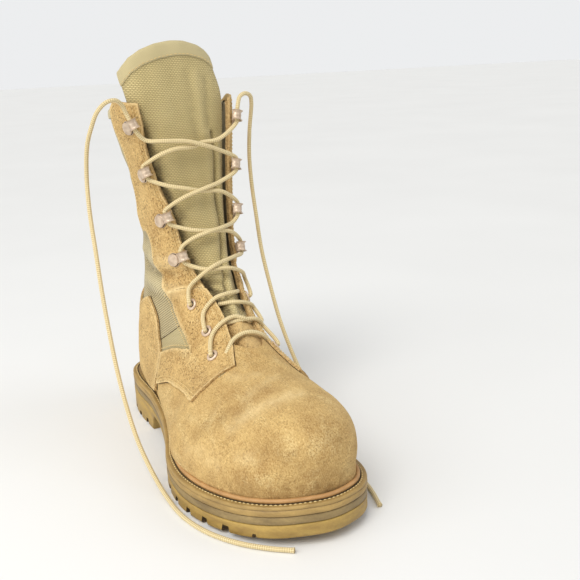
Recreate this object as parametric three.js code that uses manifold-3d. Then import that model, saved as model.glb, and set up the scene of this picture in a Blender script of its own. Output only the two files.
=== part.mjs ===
// A laced combat boot for the right foot, in millimetres.
// +Z is up, the toe points to -Y and the outer side of the foot to -X.
// The origin is on the floor, under the middle of the heel.
import * as THREE from 'three';
import { mergeVertices } from 'three/addons/utils/BufferGeometryUtils.js';
import Module from 'manifold-3d';

const wasm = await Module();
wasm.setup();

// Driving sizes
const gap = 0.3;              // kept between pieces that touch
const heelBack = 40;          // y of the sole's back end
const wall = 2.2;             // thickness of the upper
const overlayThickness = 1.9; // thickness of the suede laid over the upper
const upperInset = 7.5;       // from the sole's edge to the widest part of the vamp
const weltThickness = 4;
const midsoleThickness = 7;
const insoleThickness = 3.5;
const tongueThickness = 3.6;
const laceRadius = 1.65;
const laceSides = 6;

// Plan of the sole: distance from its back end, and half widths to either side
const outlineRows = [
  { back: 2, lateral: 13, medial: 13 },
  { back: 8, lateral: 25, medial: 24 },
  { back: 20, lateral: 34.5, medial: 33.5 },
  { back: 45, lateral: 39.5, medial: 38.5 },
  { back: 85, lateral: 39, medial: 36.5 },
  { back: 120, lateral: 42, medial: 34.5 },
  { back: 150, lateral: 49, medial: 37.5 },
  { back: 180, lateral: 58, medial: 44 },
  { back: 205, lateral: 61, medial: 50.5 },
  { back: 225, lateral: 59.5, medial: 55 },
  { back: 250, lateral: 53, medial: 56.5 },
  { back: 275, lateral: 41, medial: 51 },
  { back: 292, lateral: 25.5, medial: 40 },
  { back: 301, lateral: 8, medial: 26 },
];
const toeTip = { x: 9, back: 305 };

// Height of the line where upper and sole meet, along the foot
const featherRows = [
  { y: 40, z: 34.5 },
  { y: 0, z: 34 },
  { y: -45, z: 32 },
  { y: -80, z: 27.6 },
  { y: -115, z: 23.8 },
  { y: -150, z: 22.8 },
  { y: -185, z: 23 },
  { y: -215, z: 24.6 },
  { y: -240, z: 27.2 },
  { y: -270, z: 31.4 },
];

// Underside of the outsole along the foot: heel, breast, arch, tread and toe spring
const treadRows = [
  { y: 42, z: 2.4 },
  { y: 34, z: 0 },
  { y: -42, z: 0 },
  { y: -46.5, z: 12 },
  { y: -56, z: 13.6 },
  { y: -72, z: 12.6 },
  { y: -92, z: 8.4 },
  { y: -110, z: 3.2 },
  { y: -122, z: 0 },
  { y: -176, z: 0 },
  { y: -200, z: 1.2 },
  { y: -222, z: 3.1 },
  { y: -244, z: 5.6 },
  { y: -268, z: 9 },
];

// Sections of the boot from the toe over the instep and up the shaft. Each lies in a plane
// through a front point and a low or back point. Rows with an inset take their half widths
// from the sole's plan, the others from lateral and medial. wide is where along the section it
// is widest, and the powers say how square its front and its low end are.
const sections = [
  { topX: 9, topY: -257.3, topZ: 51, lowY: -256.8, lowZ: 37, inset: 7.5, wide: 0.5, front: 2, low: 2 },
  { topX: 9, topY: -256, topZ: 59.5, lowY: -255, lowZ: 28, inset: 7.5, wide: 0.45, front: 2.1, low: 2.8 },
  { topX: 10.5, topY: -251, topZ: 67.5, lowY: -249.5, lowZ: 22, inset: 7.5, wide: 0.4, front: 2.2, low: 4 },
  { topX: 12, topY: -242, topZ: 74.5, lowY: -240, lowZ: 18, inset: 7.5, wide: 0.36, front: 2.25, low: 5 },
  { topX: 13, topY: -228, topZ: 79.5, lowY: -225, lowZ: 16, inset: 7.6, wide: 0.33, front: 2.2, low: 5 },
  { topX: 13.5, topY: -209, topZ: 82, lowY: -204, lowZ: 14.5, inset: 7.6, wide: 0.3, front: 2.1, low: 5 },
  { topX: 13.5, topY: -187, topZ: 83.5, lowY: -181, lowZ: 14, inset: 6.8, wide: 0.3, front: 2, low: 5 },
  { topX: 14, topY: -166, topZ: 86.5, lowY: -157, lowZ: 14, inset: 4.8, wide: 0.28, front: 1.9, low: 5 },
  { topX: 14.5, topY: -147, topZ: 92, lowY: -133, lowZ: 14, inset: 2.8, wide: 0.26, front: 1.82, low: 5 },
  { topX: 14.5, topY: -130, topZ: 99.5, lowY: -108, lowZ: 15, inset: 2, wide: 0.25, front: 1.78, low: 4.6 },
  { topX: 14.5, topY: -114, topZ: 109.5, lowY: -80, lowZ: 18,
    lateral: 41, medial: 35, wide: 0.25, front: 1.78, low: 4.2 },
  { topX: 14, topY: -101, topZ: 120.5, lowY: -52, lowZ: 22,
    lateral: 37, medial: 37.5, wide: 0.25, front: 1.82, low: 3.9 },
  { topX: 13.5, topY: -91.5, topZ: 131.5, lowY: -25, lowZ: 24,
    lateral: 34, medial: 38, wide: 0.25, front: 1.9, low: 3.6 },
  { topX: 13, topY: -84.5, topZ: 141.5, lowY: 0, lowZ: 24,
    lateral: 32.5, medial: 37.5, wide: 0.28, front: 2.05, low: 3.2 },
  { topX: 12, topY: -79, topZ: 151, lowY: 20, lowZ: 25,
    lateral: 31.5, medial: 37, wide: 0.32, front: 2.2, low: 2.8 },
  { topX: 11, topY: -74.5, topZ: 160, lowY: 32.5, lowZ: 37,
    lateral: 30, medial: 38, wide: 0.37, front: 2.4, low: 2.5 },
  { topX: 10, topY: -71, topZ: 169, lowY: 35, lowZ: 58,
    lateral: 27, medial: 39.5, wide: 0.42, front: 2.6, low: 2.4 },
  { topX: 9, topY: -68, topZ: 178.5, lowY: 33.5, lowZ: 82,
    lateral: 24.5, medial: 41, wide: 0.46, front: 2.8, low: 2.3 },
  { topX: 8.5, topY: -65.5, topZ: 189, lowY: 30, lowZ: 108,
    lateral: 23.5, medial: 42, wide: 0.5, front: 3, low: 2.2 },
  { topX: 8, topY: -63.5, topZ: 202, lowY: 28, lowZ: 138,
    lateral: 24.5, medial: 43, wide: 0.53, front: 3.1, low: 2.2 },
  { topX: 7.5, topY: -62, topZ: 219, lowY: 29, lowZ: 172,
    lateral: 27, medial: 44, wide: 0.55, front: 3.2, low: 2.2 },
  { topX: 6, topY: -61.5, topZ: 238, lowY: 32, lowZ: 207,
    lateral: 33, medial: 45, wide: 0.55, front: 3.3, low: 2.2 },
  { topX: 4, topY: -61.5, topZ: 256, lowY: 35.5, lowZ: 240,
    lateral: 40, medial: 46.5, wide: 0.55, front: 3.3, low: 2.2 },
  { topX: 2, topY: -61, topZ: 272, lowY: 38, lowZ: 268,
    lateral: 43.5, medial: 47, wide: 0.55, front: 3.2, low: 2.2 },
  { topX: -2, topY: -59, topZ: 290, lowY: 39, lowZ: 290,
    lateral: 46, medial: 44, wide: 0.55, front: 3, low: 2.2 },
  { topX: -6, topY: -56, topZ: 312, lowY: 40, lowZ: 312,
    lateral: 47, medial: 40, wide: 0.55, front: 2.8, low: 2.2 },
];

// Throat of the upper seen from the front: its middle line and half width at each height
const throatRows = [
  { z: 97, middle: 13.5, half: 10.5 },
  { z: 110, middle: 14.5, half: 9.8 },
  { z: 126, middle: 14, half: 13.5 },
  { z: 143, middle: 13.5, half: 19 },
  { z: 168, middle: 11.5, half: 21.8 },
  { z: 184, middle: 9.8, half: 23.5 },
  { z: 203, middle: 7.3, half: 27 },
  { z: 220, middle: 6, half: 29.6 },
  { z: 243, middle: 4.8, half: 33 },
  { z: 290, middle: 3, half: 36 },
];
const collar = { frontY: -70, frontZ: 264, backY: 50, backZ: 253 };

// Outlines of the suede overlays, seen from the side
const facingOutline = [
  { y: -120, z: 128.4 },
  { y: -86, z: 127.6 },
  { y: -73, z: 126 },
  { y: -53.6, z: 118.4 },
  { y: -46, z: 132 },
  { y: -38, z: 142.5 },
  { y: -33, z: 156 },
  { y: -24, z: 163 },
  { y: -13, z: 167 },
  { y: -12, z: 188 },
  { y: -16.5, z: 212 },
  { y: -17.5, z: 227 },
  { y: -15.5, z: 246 },
  { y: -16.5, z: 256 },
  { y: -22, z: 263 },
  { y: -32, z: 267 },
  { y: -120, z: 267 },
];
const quarterOutline = [
  { y: -54.2, z: 117.6 },
  { y: -68.1, z: 103.7 },
  { y: -76.9, z: 97.5 },
  { y: -90.5, z: 90.6 },
  { y: -101.3, z: 84.4 },
  { y: -78.4, z: 79.4 },
  { y: -57, z: 70.6 },
  { y: -58.7, z: 66.5 },
  { y: -60.8, z: 56 },
  { y: -61.5, z: 47 },
  { y: -66.5, z: 48.7 },
  { y: -80, z: 54.1 },
  { y: -104, z: 58.7 },
];
const quarterTop = [
  { y: -86, z: 127 },
  { y: -73, z: 125.4 },
];
const counterOutline = [
  { y: 60, z: 120 },
  { y: 15, z: 118 },
  { y: -10, z: 114.5 },
  { y: -26.4, z: 109.5 },
  { y: -33.7, z: 103.6 },
  { y: -43.2, z: 91.7 },
  { y: -48, z: 81.4 },
  { y: -54.6, z: 73.6 },
  { y: -57.4, z: 66.5 },
  { y: -59.4, z: 56 },
  { y: -57.8, z: 49.6 },
  { y: -57, z: 20 },
  { y: 60, z: 20 },
];

// The two sides of the throat: where each quarter ends in front and its edge over the vamp
const sides = {
  lateral: {
    sign: -1,
    fromX: -90,
    toX: 13,
    tip: { y: -144, z: 61.4 },
    tipTop: { y: -153, z: 86 },
    lowFront: { y: -125.5, z: 60.3 },
    vampEdge: [
      { x: 1.4, y: -86 },
      { x: 1.6, y: -97 },
      { x: 4.7, y: -107.7 },
      { x: 2.9, y: -121 },
      { x: 1.6, y: -131 },
      { x: -3.3, y: -146 },
      { x: -7, y: -158 },
    ],
  },
  medial: {
    sign: 1,
    fromX: 15,
    toX: 90,
    tip: { y: -166, z: 66 },
    tipTop: { y: -174, z: 80 },
    lowFront: { y: -140, z: 62 },
    vampEdge: [
      { x: 27.5, y: -86 },
      { x: 26, y: -97 },
      { x: 24, y: -108 },
      { x: 25.5, y: -121 },
      { x: 28, y: -133 },
      { x: 31, y: -148 },
      { x: 37, y: -178 },
    ],
  },
};

// Rounded top of the tongue, seen from the front
const tongueOutline = [
  { x: 60, z: 280 },
  { x: 38, z: 284 },
  { x: 34.5, z: 291.5 },
  { x: 31, z: 297.5 },
  { x: 26.5, z: 302 },
  { x: 20, z: 305.5 },
  { x: 8, z: 308.6 },
  { x: -4, z: 309 },
  { x: -16, z: 307 },
  { x: -28, z: 303 },
  { x: -37, z: 297.5 },
  { x: -42, z: 291.5 },
  { x: -46, z: 284 },
  { x: -60, z: 280 },
];

// Speed hooks by height, counted from the top, and eyelets by height and x
const hookRows = [{ z: 247.5 }, { z: 210.5 }, { z: 175.8 }, { z: 145.6 }];
const hookFromEdge = { lateral: 12.5, medial: 9.5 };
const eyeletRows = [
  { z: 113.5, lateral: -9.5, medial: 31 },
  { z: 98, lateral: -8, medial: 30.5 },
  { z: 85.5, lateral: -12.3, medial: 32.5 },
];
const hook = {
  plateRadius: 5.2, plateThickness: 1.1, rivetRadius: 4.5, rivetHeight: 1.2, strapWidth: 7.5,
  loopX: 10.4, loopZ: 3.7, innerRadius: 2.85, outerRadius: 4,
};
const eyelet = { hole: 2.2, barrel: 2.8, flange: 4.6, height: 1.2, depth: 4.8, clearance: 0.5 };

// Free ends of the lace after the top hooks
const lateralEnd = [
  [-45, -70, 265],
  [-52, -69, 268.5],
  [-60, -64, 266],
  [-67, -55, 256],
  [-70, -44, 236],
  [-71, -36, 211],
  [-72, -39, 186],
  [-73, -50, 158],
  [-74, -63, 124],
  [-74, -72, 101],
  [-74, -84, 76],
  [-73, -98, 51],
  [-71, -117, 27],
  [-68, -143, 10],
  [-66, -168, 3.2],
  [-64, -190, 1.9],
  [-57, -215, 1.9],
  [-45, -236, 1.9],
  [-30, -252, 1.9],
  [-17, -262, 1.9],
];
const medialEnd = [
  [47, -60, 264.5],
  [54, -58, 265],
  [58.5, -52, 256],
  [60, -46, 238],
  [60, -43, 217],
  [60, -45, 195],
  [60, -51, 170],
  [61, -56, 143],
  [63, -65, 115],
  [64, -80, 87],
  [66, -96, 64],
  [68, -113, 45],
  [69, -133, 27],
  [69, -155, 12],
  [68, -177, 4],
  [66, -198, 1.9],
  [63, -220, 1.9],
  [57, -242, 1.9],
];

// ---- Helpers for curves and solids ----

// Smooth value of a column through rows that are ordered by another column
function along(rows, orderedBy, column, at) {
  const rising = rows[rows.length - 1][orderedBy] > rows[0][orderedBy];
  const list = rising ? rows : [...rows].reverse();
  const position = (row) => row[orderedBy];
  const last = list.length - 1;
  const clamped = Math.min(Math.max(at, position(list[0])), position(list[last]));
  let i = 0;
  while (i < last - 1 && position(list[i + 1]) < clamped) i += 1;
  const slope = (k) => {
    const before = list[Math.max(k - 1, 0)];
    const after = list[Math.min(k + 1, last)];
    return (after[column] - before[column]) / (position(after) - position(before));
  };
  const width = position(list[i + 1]) - position(list[i]);
  const t = (clamped - position(list[i])) / width;
  const square = t * t;
  const cube = square * t;
  return (
    (2 * cube - 3 * square + 1) * list[i][column]
    + (cube - 2 * square + t) * width * slope(i)
    + (3 * square - 2 * cube) * list[i + 1][column]
    + (cube - square) * width * slope(i + 1)
  );
}

function solid(geometry) {
  const bare = new THREE.BufferGeometry();
  bare.setAttribute('position', geometry.getAttribute('position'));
  if (geometry.index) bare.setIndex(geometry.index);
  const merged = mergeVertices(bare, 1e-4);
  return new wasm.Manifold(new wasm.Mesh({
    numProp: 3,
    vertProperties: new Float32Array(merged.getAttribute('position').array),
    triVerts: new Uint32Array(merged.index.array),
  }));
}

function geometryOf(body) {
  const mesh = body.getMesh();
  const geometry = new THREE.BufferGeometry();
  geometry.setAttribute('position', new THREE.BufferAttribute(new Float32Array(mesh.vertProperties), 3));
  geometry.setIndex(new THREE.BufferAttribute(new Uint32Array(mesh.triVerts), 1));
  geometry.computeVertexNormals();
  return geometry;
}

// The largest body that a cut leaves
const mainBody = (body) => body.decompose().sort((a, b) => b.volume() - a.volume())[0];

// Closed skin over rings of points, each ring with the same number of points
function loft(rings) {
  const count = rings[0].length;
  const positions = rings.flat().flatMap((point) => [point.x, point.y, point.z]);
  const triangles = [];
  for (let r = 0; r < rings.length - 1; r += 1) {
    for (let k = 0; k < count; k += 1) {
      const next = (k + 1) % count;
      const a = r * count + k;
      const b = r * count + next;
      const c = a + count;
      const d = b + count;
      triangles.push(a, b, c, b, d, c);
    }
  }
  for (const [ring, flip] of [[0, true], [rings.length - 1, false]]) {
    const centre = new THREE.Vector3();
    rings[ring].forEach((point) => centre.addScaledVector(point, 1 / count));
    positions.push(centre.x, centre.y, centre.z);
    const hub = positions.length / 3 - 1;
    for (let k = 0; k < count; k += 1) {
      const a = ring * count + k;
      const b = ring * count + ((k + 1) % count);
      triangles.push(...(flip ? [hub, b, a] : [hub, a, b]));
    }
  }
  const geometry = new THREE.BufferGeometry();
  geometry.setAttribute('position', new THREE.Float32BufferAttribute(positions, 3));
  geometry.setIndex(triangles);
  return geometry;
}

function extruded(points, depth, basis, start) {
  const shape = new THREE.Shape(points);
  const geometry = new THREE.ExtrudeGeometry(shape, { depth, bevelEnabled: false, curveSegments: 1 });
  geometry.applyMatrix4(new THREE.Matrix4().makeBasis(...basis));
  geometry.translate(start.x, start.y, start.z);
  return solid(geometry);
}

const axisX = new THREE.Vector3(1, 0, 0);
const axisY = new THREE.Vector3(0, 1, 0);
const axisZ = new THREE.Vector3(0, 0, 1);

// Prisms of an outline drawn in plan (x, y), from the side (y, z) and from the front (x, z)
const planPrism = (points, fromZ, toZ) => (
  extruded(points, toZ - fromZ, [axisX, axisY, axisZ], new THREE.Vector3(0, 0, fromZ))
);
const sidePrism = (points, fromX, toX) => (
  extruded(points, toX - fromX, [axisY, axisZ, axisX], new THREE.Vector3(fromX, 0, 0))
);
const frontPrism = (points, fromY, toY) => (
  extruded(points, toY - fromY, [axisX, axisZ, axisY.clone().negate()], new THREE.Vector3(0, toY, 0))
);

// ---- Plan of the sole ----

const outlinePoints = 54;

function solePlan() {
  const left = outlineRows.map((row) => new THREE.Vector3(-row.lateral, heelBack - row.back, 0));
  const right = outlineRows.map((row) => new THREE.Vector3(row.medial, heelBack - row.back, 0));
  const knots = [
    new THREE.Vector3(0, heelBack, 0),
    ...left,
    new THREE.Vector3(toeTip.x, heelBack - toeTip.back, 0),
    ...right.reverse(),
  ];
  const curve = new THREE.CatmullRomCurve3(knots, true, 'centripetal');
  return curve.getSpacedPoints(outlinePoints).slice(0, outlinePoints);
}

const plan = solePlan();

function planInset(inset) {
  return plan.map((point, k) => {
    const before = plan[(k + outlinePoints - 1) % outlinePoints];
    const after = plan[(k + 1) % outlinePoints];
    const run = new THREE.Vector3().subVectors(after, before).normalize();
    return new THREE.Vector2(point.x - run.y * inset, point.y + run.x * inset);
  });
}

// Least and greatest x of an outline at a given y
function planEdges(points, y) {
  const hits = [];
  points.forEach((point, k) => {
    const next = points[(k + 1) % points.length];
    if ((point.y - y) * (next.y - y) <= 0 && point.y !== next.y) {
      hits.push(point.x + ((next.x - point.x) * (y - point.y)) / (next.y - point.y));
    }
  });
  return { least: Math.min(...hits), greatest: Math.max(...hits) };
}

const featherAt = (y) => along(featherRows, 'y', 'z', y);

const sideStations = Array.from({ length: 23 }, (_, k) => 46 - (k * 319) / 22);

// Side outline of a layer between two heights below or above the feather line
function layerOutline(lower, upper) {
  const top = sideStations.map((y) => new THREE.Vector2(y, featherAt(y) + upper));
  const bottom = sideStations.map((y) => new THREE.Vector2(y, featherAt(y) + lower));
  return [...top, ...bottom.reverse()];
}

const layer = (outline, lower, upper) => (
  planPrism(outline, -5, 70).intersect(sidePrism(layerOutline(lower, upper), -90, 90))
);

// ---- Form of the upper ----

for (const row of sections) {
  if (row.inset !== undefined) {
    const edges = planEdges(planInset(row.inset), row.lowY);
    row.lateral = -edges.least;
    row.medial = edges.greatest;
  }
  row.middle = (row.medial - row.lateral) / 2;
  row.half = (row.medial + row.lateral) / 2;
}

// Value of a column of the sections at u, from 0 at the toe to 1 at the last row
function sectionValue(column, u) {
  const last = sections.length - 1;
  const place = Math.min(Math.max(u, 0), 1) * last;
  const i = Math.min(Math.floor(place), last - 1);
  const t = place - i;
  const value = (k) => sections[Math.min(Math.max(k, 0), last)][column];
  const fromSlope = (value(i + 1) - value(i - 1)) / 2;
  const toSlope = (value(i + 2) - value(i)) / 2;
  const square = t * t;
  const cube = square * t;
  return (
    (2 * cube - 3 * square + 1) * value(i) + (cube - 2 * square + t) * fromSlope
    + (3 * square - 2 * cube) * value(i + 1) + (cube - square) * toSlope
  );
}

// Point of the form: angle 0 is the front middle line, negative on the lateral side
function basePoint(u, angle) {
  const around = Math.abs(angle);
  const side = Math.sign(angle);
  const wide = sectionValue('wide', u);
  const half = sectionValue('half', u);
  const inFront = around <= Math.PI / 2;
  const power = 2 / sectionValue(inFront ? 'front' : 'low', u);
  const across = Math.abs(Math.sin(around)) ** power;
  const reach = Math.abs(Math.cos(around)) ** power;
  const rise = inFront ? wide + (1 - wide) * reach : wide * (1 - reach);
  const lean = sectionValue('topX', u) - sectionValue('middle', u);
  return new THREE.Vector3(
    sectionValue('middle', u) + lean * Math.max(rise - wide, 0) / (1 - wide) + side * half * across,
    THREE.MathUtils.lerp(sectionValue('lowY', u), sectionValue('topY', u), rise),
    THREE.MathUtils.lerp(sectionValue('lowZ', u), sectionValue('topZ', u), rise),
  );
}

function normalAt(u, angle) {
  const stepU = 0.004;
  const stepAngle = 0.03;
  const alongU = basePoint(Math.min(u + stepU, 1), angle).sub(basePoint(Math.max(u - stepU, 0), angle));
  const alongAngle = basePoint(u, angle + stepAngle).sub(basePoint(u, angle - stepAngle));
  return alongAngle.cross(alongU).normalize();
}

const formPoint = (u, angle, offset) => (
  basePoint(u, angle).addScaledVector(normalAt(u, angle), offset)
);

function formSolid(offset, stations, around) {
  const rings = Array.from({ length: stations }, (_, r) => {
    const u = 0.012 + (0.988 * r) / (stations - 1);
    return Array.from({ length: around }, (_, k) => (
      formPoint(u, -Math.PI + (2 * Math.PI * (k + 0.5)) / around, offset)
    ));
  });
  return solid(loft(rings));
}

const throatOutline = (slack) => {
  const left = throatRows.map((row) => new THREE.Vector2(row.middle - row.half - slack, row.z));
  const right = throatRows.map((row) => new THREE.Vector2(row.middle + row.half + slack, row.z));
  const first = throatRows[0];
  const foot = new THREE.Vector2(first.middle, first.z - first.half * 0.5 - slack);
  return [foot, ...right, ...left.reverse()];
};

// ---- Sole ----

function outsoleSolid() {
  const top = sideStations.map((y) => (
    new THREE.Vector2(y, featherAt(y) - weltThickness - midsoleThickness - 2 * gap)
  ));
  const tread = treadRows.map((row) => new THREE.Vector2(row.y, row.z));
  const side = sidePrism([...top, ...tread.reverse()], -90, 90);
  let body = planPrism(planInset(0), -5, 70).intersect(side);
  for (const cut of lugCuts()) body = body.subtract(cut);
  return body;
}

// Notches between the lugs around the edge of the forefoot and heel
function lugCuts() {
  const lugHeight = 5;
  const notch = { deep: 9, long: 7 };
  const cuts = [];
  const firstNotch = { forefoot: -128, heel: 26 };
  const rows = [
    { from: firstNotch.forefoot, pitch: -19, count: 7 },
    { from: firstNotch.heel, pitch: -17.5, count: 4 },
  ];
  for (const row of rows) {
    for (let k = 0; k < row.count; k += 1) {
      const y = row.from + row.pitch * k;
      const edges = planEdges(plan, y);
      const rise = along(treadRows, 'y', 'z', y);
      for (const [x, side] of [[edges.least, -1], [edges.greatest, 1]]) {
        const block = new THREE.BoxGeometry(notch.deep * 2, notch.long, lugHeight * 2);
        const ahead = planEdges(plan, y - 3);
        const aheadX = side < 0 ? ahead.least : ahead.greatest;
        block.rotateZ(Math.atan2(aheadX - x, 3));
        block.translate(x, y, rise);
        cuts.push(solid(block));
      }
    }
  }
  return cuts;
}

function midsoleSolid() {
  const body = layer(planInset(0), -weltThickness - midsoleThickness - gap, -weltThickness - gap);
  const filler = layer(planInset(14), -weltThickness - gap - 1, -0.1);
  return body.add(filler);
}

function weltSolid() {
  const shelf = layer(planInset(0), -weltThickness, 0).subtract(layer(planInset(13.5), -20, 20));
  const beadFront = -58;
  const bead = layer(planInset(3.4), -1, 4.6)
    .subtract(layer(planInset(upperInset + 0.4), -20, 20))
    .subtract(planPrism([
      new THREE.Vector2(-90, beadFront),
      new THREE.Vector2(90, beadFront),
      new THREE.Vector2(90, 60),
      new THREE.Vector2(-90, 60),
    ], -20, 90));
  return mainBody(shelf.add(bead).subtract(outerForm(gap)));
}

// ---- Upper, insole and tongue ----

const formStations = 24;
const formAround = 20;
const formCache = new Map();

function outerForm(offset) {
  if (!formCache.has(offset)) formCache.set(offset, formSolid(offset, formStations, formAround));
  return formCache.get(offset);
}

const below = (lift) => sidePrism([
  ...sideStations.map((y) => new THREE.Vector2(y, featherAt(y) + lift)),
  new THREE.Vector2(sideStations.at(-1), -20),
  new THREE.Vector2(sideStations[0], -20),
], -90, 90);

const above = (lift) => sidePrism([
  new THREE.Vector2(collar.backY, collar.backZ + lift),
  new THREE.Vector2(collar.backY, 340),
  new THREE.Vector2(-110, 340),
  new THREE.Vector2(-110, collar.frontZ + lift),
  new THREE.Vector2(collar.frontY, collar.frontZ + lift),
], -90, 90);

function upperSolid() {
  return mainBody(outerForm(0)
    .subtract(outerForm(-wall))
    .subtract(below(gap))
    .subtract(above(0))
    .subtract(frontPrism(throatOutline(2), -240, -25)));
}

function insoleSolid() {
  return mainBody(layer(planInset(11), gap, gap + insoleThickness).intersect(outerForm(-wall - gap)));
}

// The tongue lies inside the throat and stands above the collar
function tongueSolid() {
  const stations = 15;
  const across = 6;
  const range = { from: 0.315, to: 0.992 };
  const lateralReach = { from: 0.62, to: 1.2 };
  const medialReach = { from: 0.62, to: 0.72 };
  const outside = -wall - 1.3;
  const rings = Array.from({ length: stations }, (_, r) => {
    const t = r / (stations - 1);
    const u = THREE.MathUtils.lerp(range.from, range.to, t);
    const lateral = THREE.MathUtils.lerp(lateralReach.from, lateralReach.to, t);
    const medial = THREE.MathUtils.lerp(medialReach.from, medialReach.to, t);
    const angles = Array.from({ length: across }, (_, k) => (
      THREE.MathUtils.lerp(-lateral, medial, k / (across - 1))
    ));
    return [
      ...angles.map((angle) => formPoint(u, angle, outside)),
      ...angles.reverse().map((angle) => formPoint(u, angle, outside - tongueThickness)),
    ];
  });
  const top = tongueOutline.map((row) => new THREE.Vector2(row.x, row.z));
  const rounded = [new THREE.Vector2(-60, 60), new THREE.Vector2(60, 60), ...top];
  return solid(loft(rings)).intersect(frontPrism(rounded, -240, 60));
}

// ---- Suede overlays ----

const points2 = (rows, first, second) => rows.map((row) => new THREE.Vector2(row[first], row[second]));

const overlayShell = outerForm(gap + overlayThickness).subtract(outerForm(gap));

function facingSolid(side) {
  return mainBody(overlayShell
    .intersect(sidePrism(points2(facingOutline, 'y', 'z'), side.fromX, side.toX))
    .subtract(frontPrism(throatOutline(0), -240, -25)));
}

function quarterSolid(side) {
  const outline = [
    ...quarterOutline,
    side.lowFront,
    side.tip,
    side.tipTop,
    { y: side.tipTop.y, z: quarterTop[0].z },
    ...quarterTop,
  ];
  const edge = side.vampEdge;
  const farX = side.sign * -60;
  const window = [...edge, { x: farX, y: edge[edge.length - 1].y }, { x: farX, y: edge[0].y }];
  return mainBody(overlayShell
    .intersect(sidePrism(points2(outline, 'y', 'z'), side.fromX, side.toX))
    .subtract(frontPrism(throatOutline(0), -240, -25))
    .subtract(planPrism(points2(window, 'x', 'y'), 20, 160)));
}

function counterSolid() {
  return mainBody(overlayShell
    .intersect(sidePrism(points2(counterOutline, 'y', 'z'), -90, 90))
    .subtract(below(2 * gap)));
}

// ---- Places on the form for hooks, eyelets and lace ----

// Section that a line of the form at one angle crosses at a height
function sectionAtHeight(angle, z) {
  let low = 0.28;
  let high = 1;
  for (let k = 0; k < 36; k += 1) {
    const u = (low + high) / 2;
    if (basePoint(u, angle).z < z) low = u;
    else high = u;
  }
  return low;
}

// Place on the front of the form at a given x and height
function spotAt(x, z) {
  let low = -1.5;
  let high = 1.5;
  for (let k = 0; k < 36; k += 1) {
    const angle = (low + high) / 2;
    if (basePoint(sectionAtHeight(angle, z), angle).x < x) low = angle;
    else high = angle;
  }
  return { u: sectionAtHeight(low, z), angle: low };
}

const throatEdgeX = (sign, z) => (
  along(throatRows, 'z', 'middle', z) + sign * along(throatRows, 'z', 'half', z)
);

// Place at a distance outwards from the edge of the throat
function spotFromEdge(sign, z, distance) {
  const step = 0.01;
  let { angle } = spotAt(throatEdgeX(sign, z), z);
  let before = basePoint(sectionAtHeight(angle, z), angle);
  let walked = 0;
  while (walked < distance) {
    angle += sign * step;
    const here = basePoint(sectionAtHeight(angle, z), angle);
    walked += here.distanceTo(before);
    before = here;
  }
  return { u: sectionAtHeight(angle, z), angle };
}

// Matrix of a seat on the form: x level and towards the throat, z outwards
function seat(spot, sign, lift) {
  const { u, angle } = spot;
  const outward = normalAt(u, angle);
  const inward = new THREE.Vector3().crossVectors(axisZ, outward).normalize().multiplyScalar(-sign);
  const across = new THREE.Vector3().crossVectors(outward, inward);
  const origin = formPoint(u, angle, lift);
  return new THREE.Matrix4().makeBasis(inward, across, outward).setPosition(origin);
}

const hardwareLift = overlayThickness + 4 * gap;
const hookSeats = [];
const eyeletSeats = [];
for (const name of ['lateral', 'medial']) {
  const { sign } = sides[name];
  hookRows.forEach((row, k) => {
    const matrix = seat(spotFromEdge(sign, row.z, hookFromEdge[name]), sign, hardwareLift);
    hookSeats.push({ name: `hook_${name}_${k + 1}`, side: name, row: k, matrix });
  });
  eyeletRows.forEach((row, k) => {
    const matrix = seat(spotAt(row[name], row.z), sign, hardwareLift);
    eyeletSeats.push({ name: `eyelet_${name}_${k + 1}`, side: name, row: k, matrix });
  });
}

// ---- Hooks and eyelets ----

function disc(radiusTop, radiusBottom, height, sides_, fromZ) {
  const geometry = new THREE.CylinderGeometry(radiusTop, radiusBottom, height, sides_);
  geometry.rotateX(Math.PI / 2);
  geometry.translate(0, 0, fromZ + height / 2);
  return solid(geometry);
}

// Section of the hook's loop, an open ring that springs from the strap
function loopSection() {
  const start = THREE.MathUtils.degToRad(235);
  const end = THREE.MathUtils.degToRad(-40);
  const steps = 5;
  const arc = (radius) => Array.from({ length: steps + 1 }, (_, k) => {
    const angle = THREE.MathUtils.lerp(start, end, k / steps);
    return new THREE.Vector2(
      hook.loopX + radius * Math.cos(angle),
      hook.loopZ + radius * Math.sin(angle),
    );
  });
  return [...arc(hook.outerRadius), ...arc(hook.innerRadius).reverse()];
}

function hookSolid() {
  const half = hook.strapWidth / 2;
  const strapEnd = 8.3;
  const strap = new THREE.BoxGeometry(strapEnd, hook.strapWidth, hook.plateThickness);
  strap.translate(strapEnd / 2, 0, hook.plateThickness / 2);
  const loopWall = frontPrism(loopSection(), -half, half);
  return disc(hook.plateRadius, hook.plateRadius, hook.plateThickness, 8, 0)
    .add(disc(hook.rivetRadius - 0.6, hook.rivetRadius, hook.rivetHeight, 8, hook.plateThickness))
    .add(solid(strap))
    .add(loopWall);
}

function eyeletSolid() {
  const profile = [
    [eyelet.hole, -eyelet.depth],
    [eyelet.barrel, -eyelet.depth],
    [eyelet.barrel, 0],
    [eyelet.flange, 0],
    [eyelet.flange - 0.4, eyelet.height * 0.7],
    [eyelet.hole + 0.9, eyelet.height],
    [eyelet.hole, eyelet.height * 0.6],
    [eyelet.hole, -eyelet.depth],
  ].map(([radius, height]) => new THREE.Vector2(radius, height));
  const geometry = new THREE.LatheGeometry(profile, 8);
  geometry.rotateX(Math.PI / 2);
  return solid(geometry);
}

const eyeletHoles = () => eyeletSeats.map(({ matrix }) => {
  const radius = eyelet.barrel + eyelet.clearance;
  const cutter = new THREE.CylinderGeometry(radius, radius, 12, 10);
  cutter.rotateX(Math.PI / 2);
  return solid(cutter.applyMatrix4(matrix));
});

// ---- Lace ----

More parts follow.
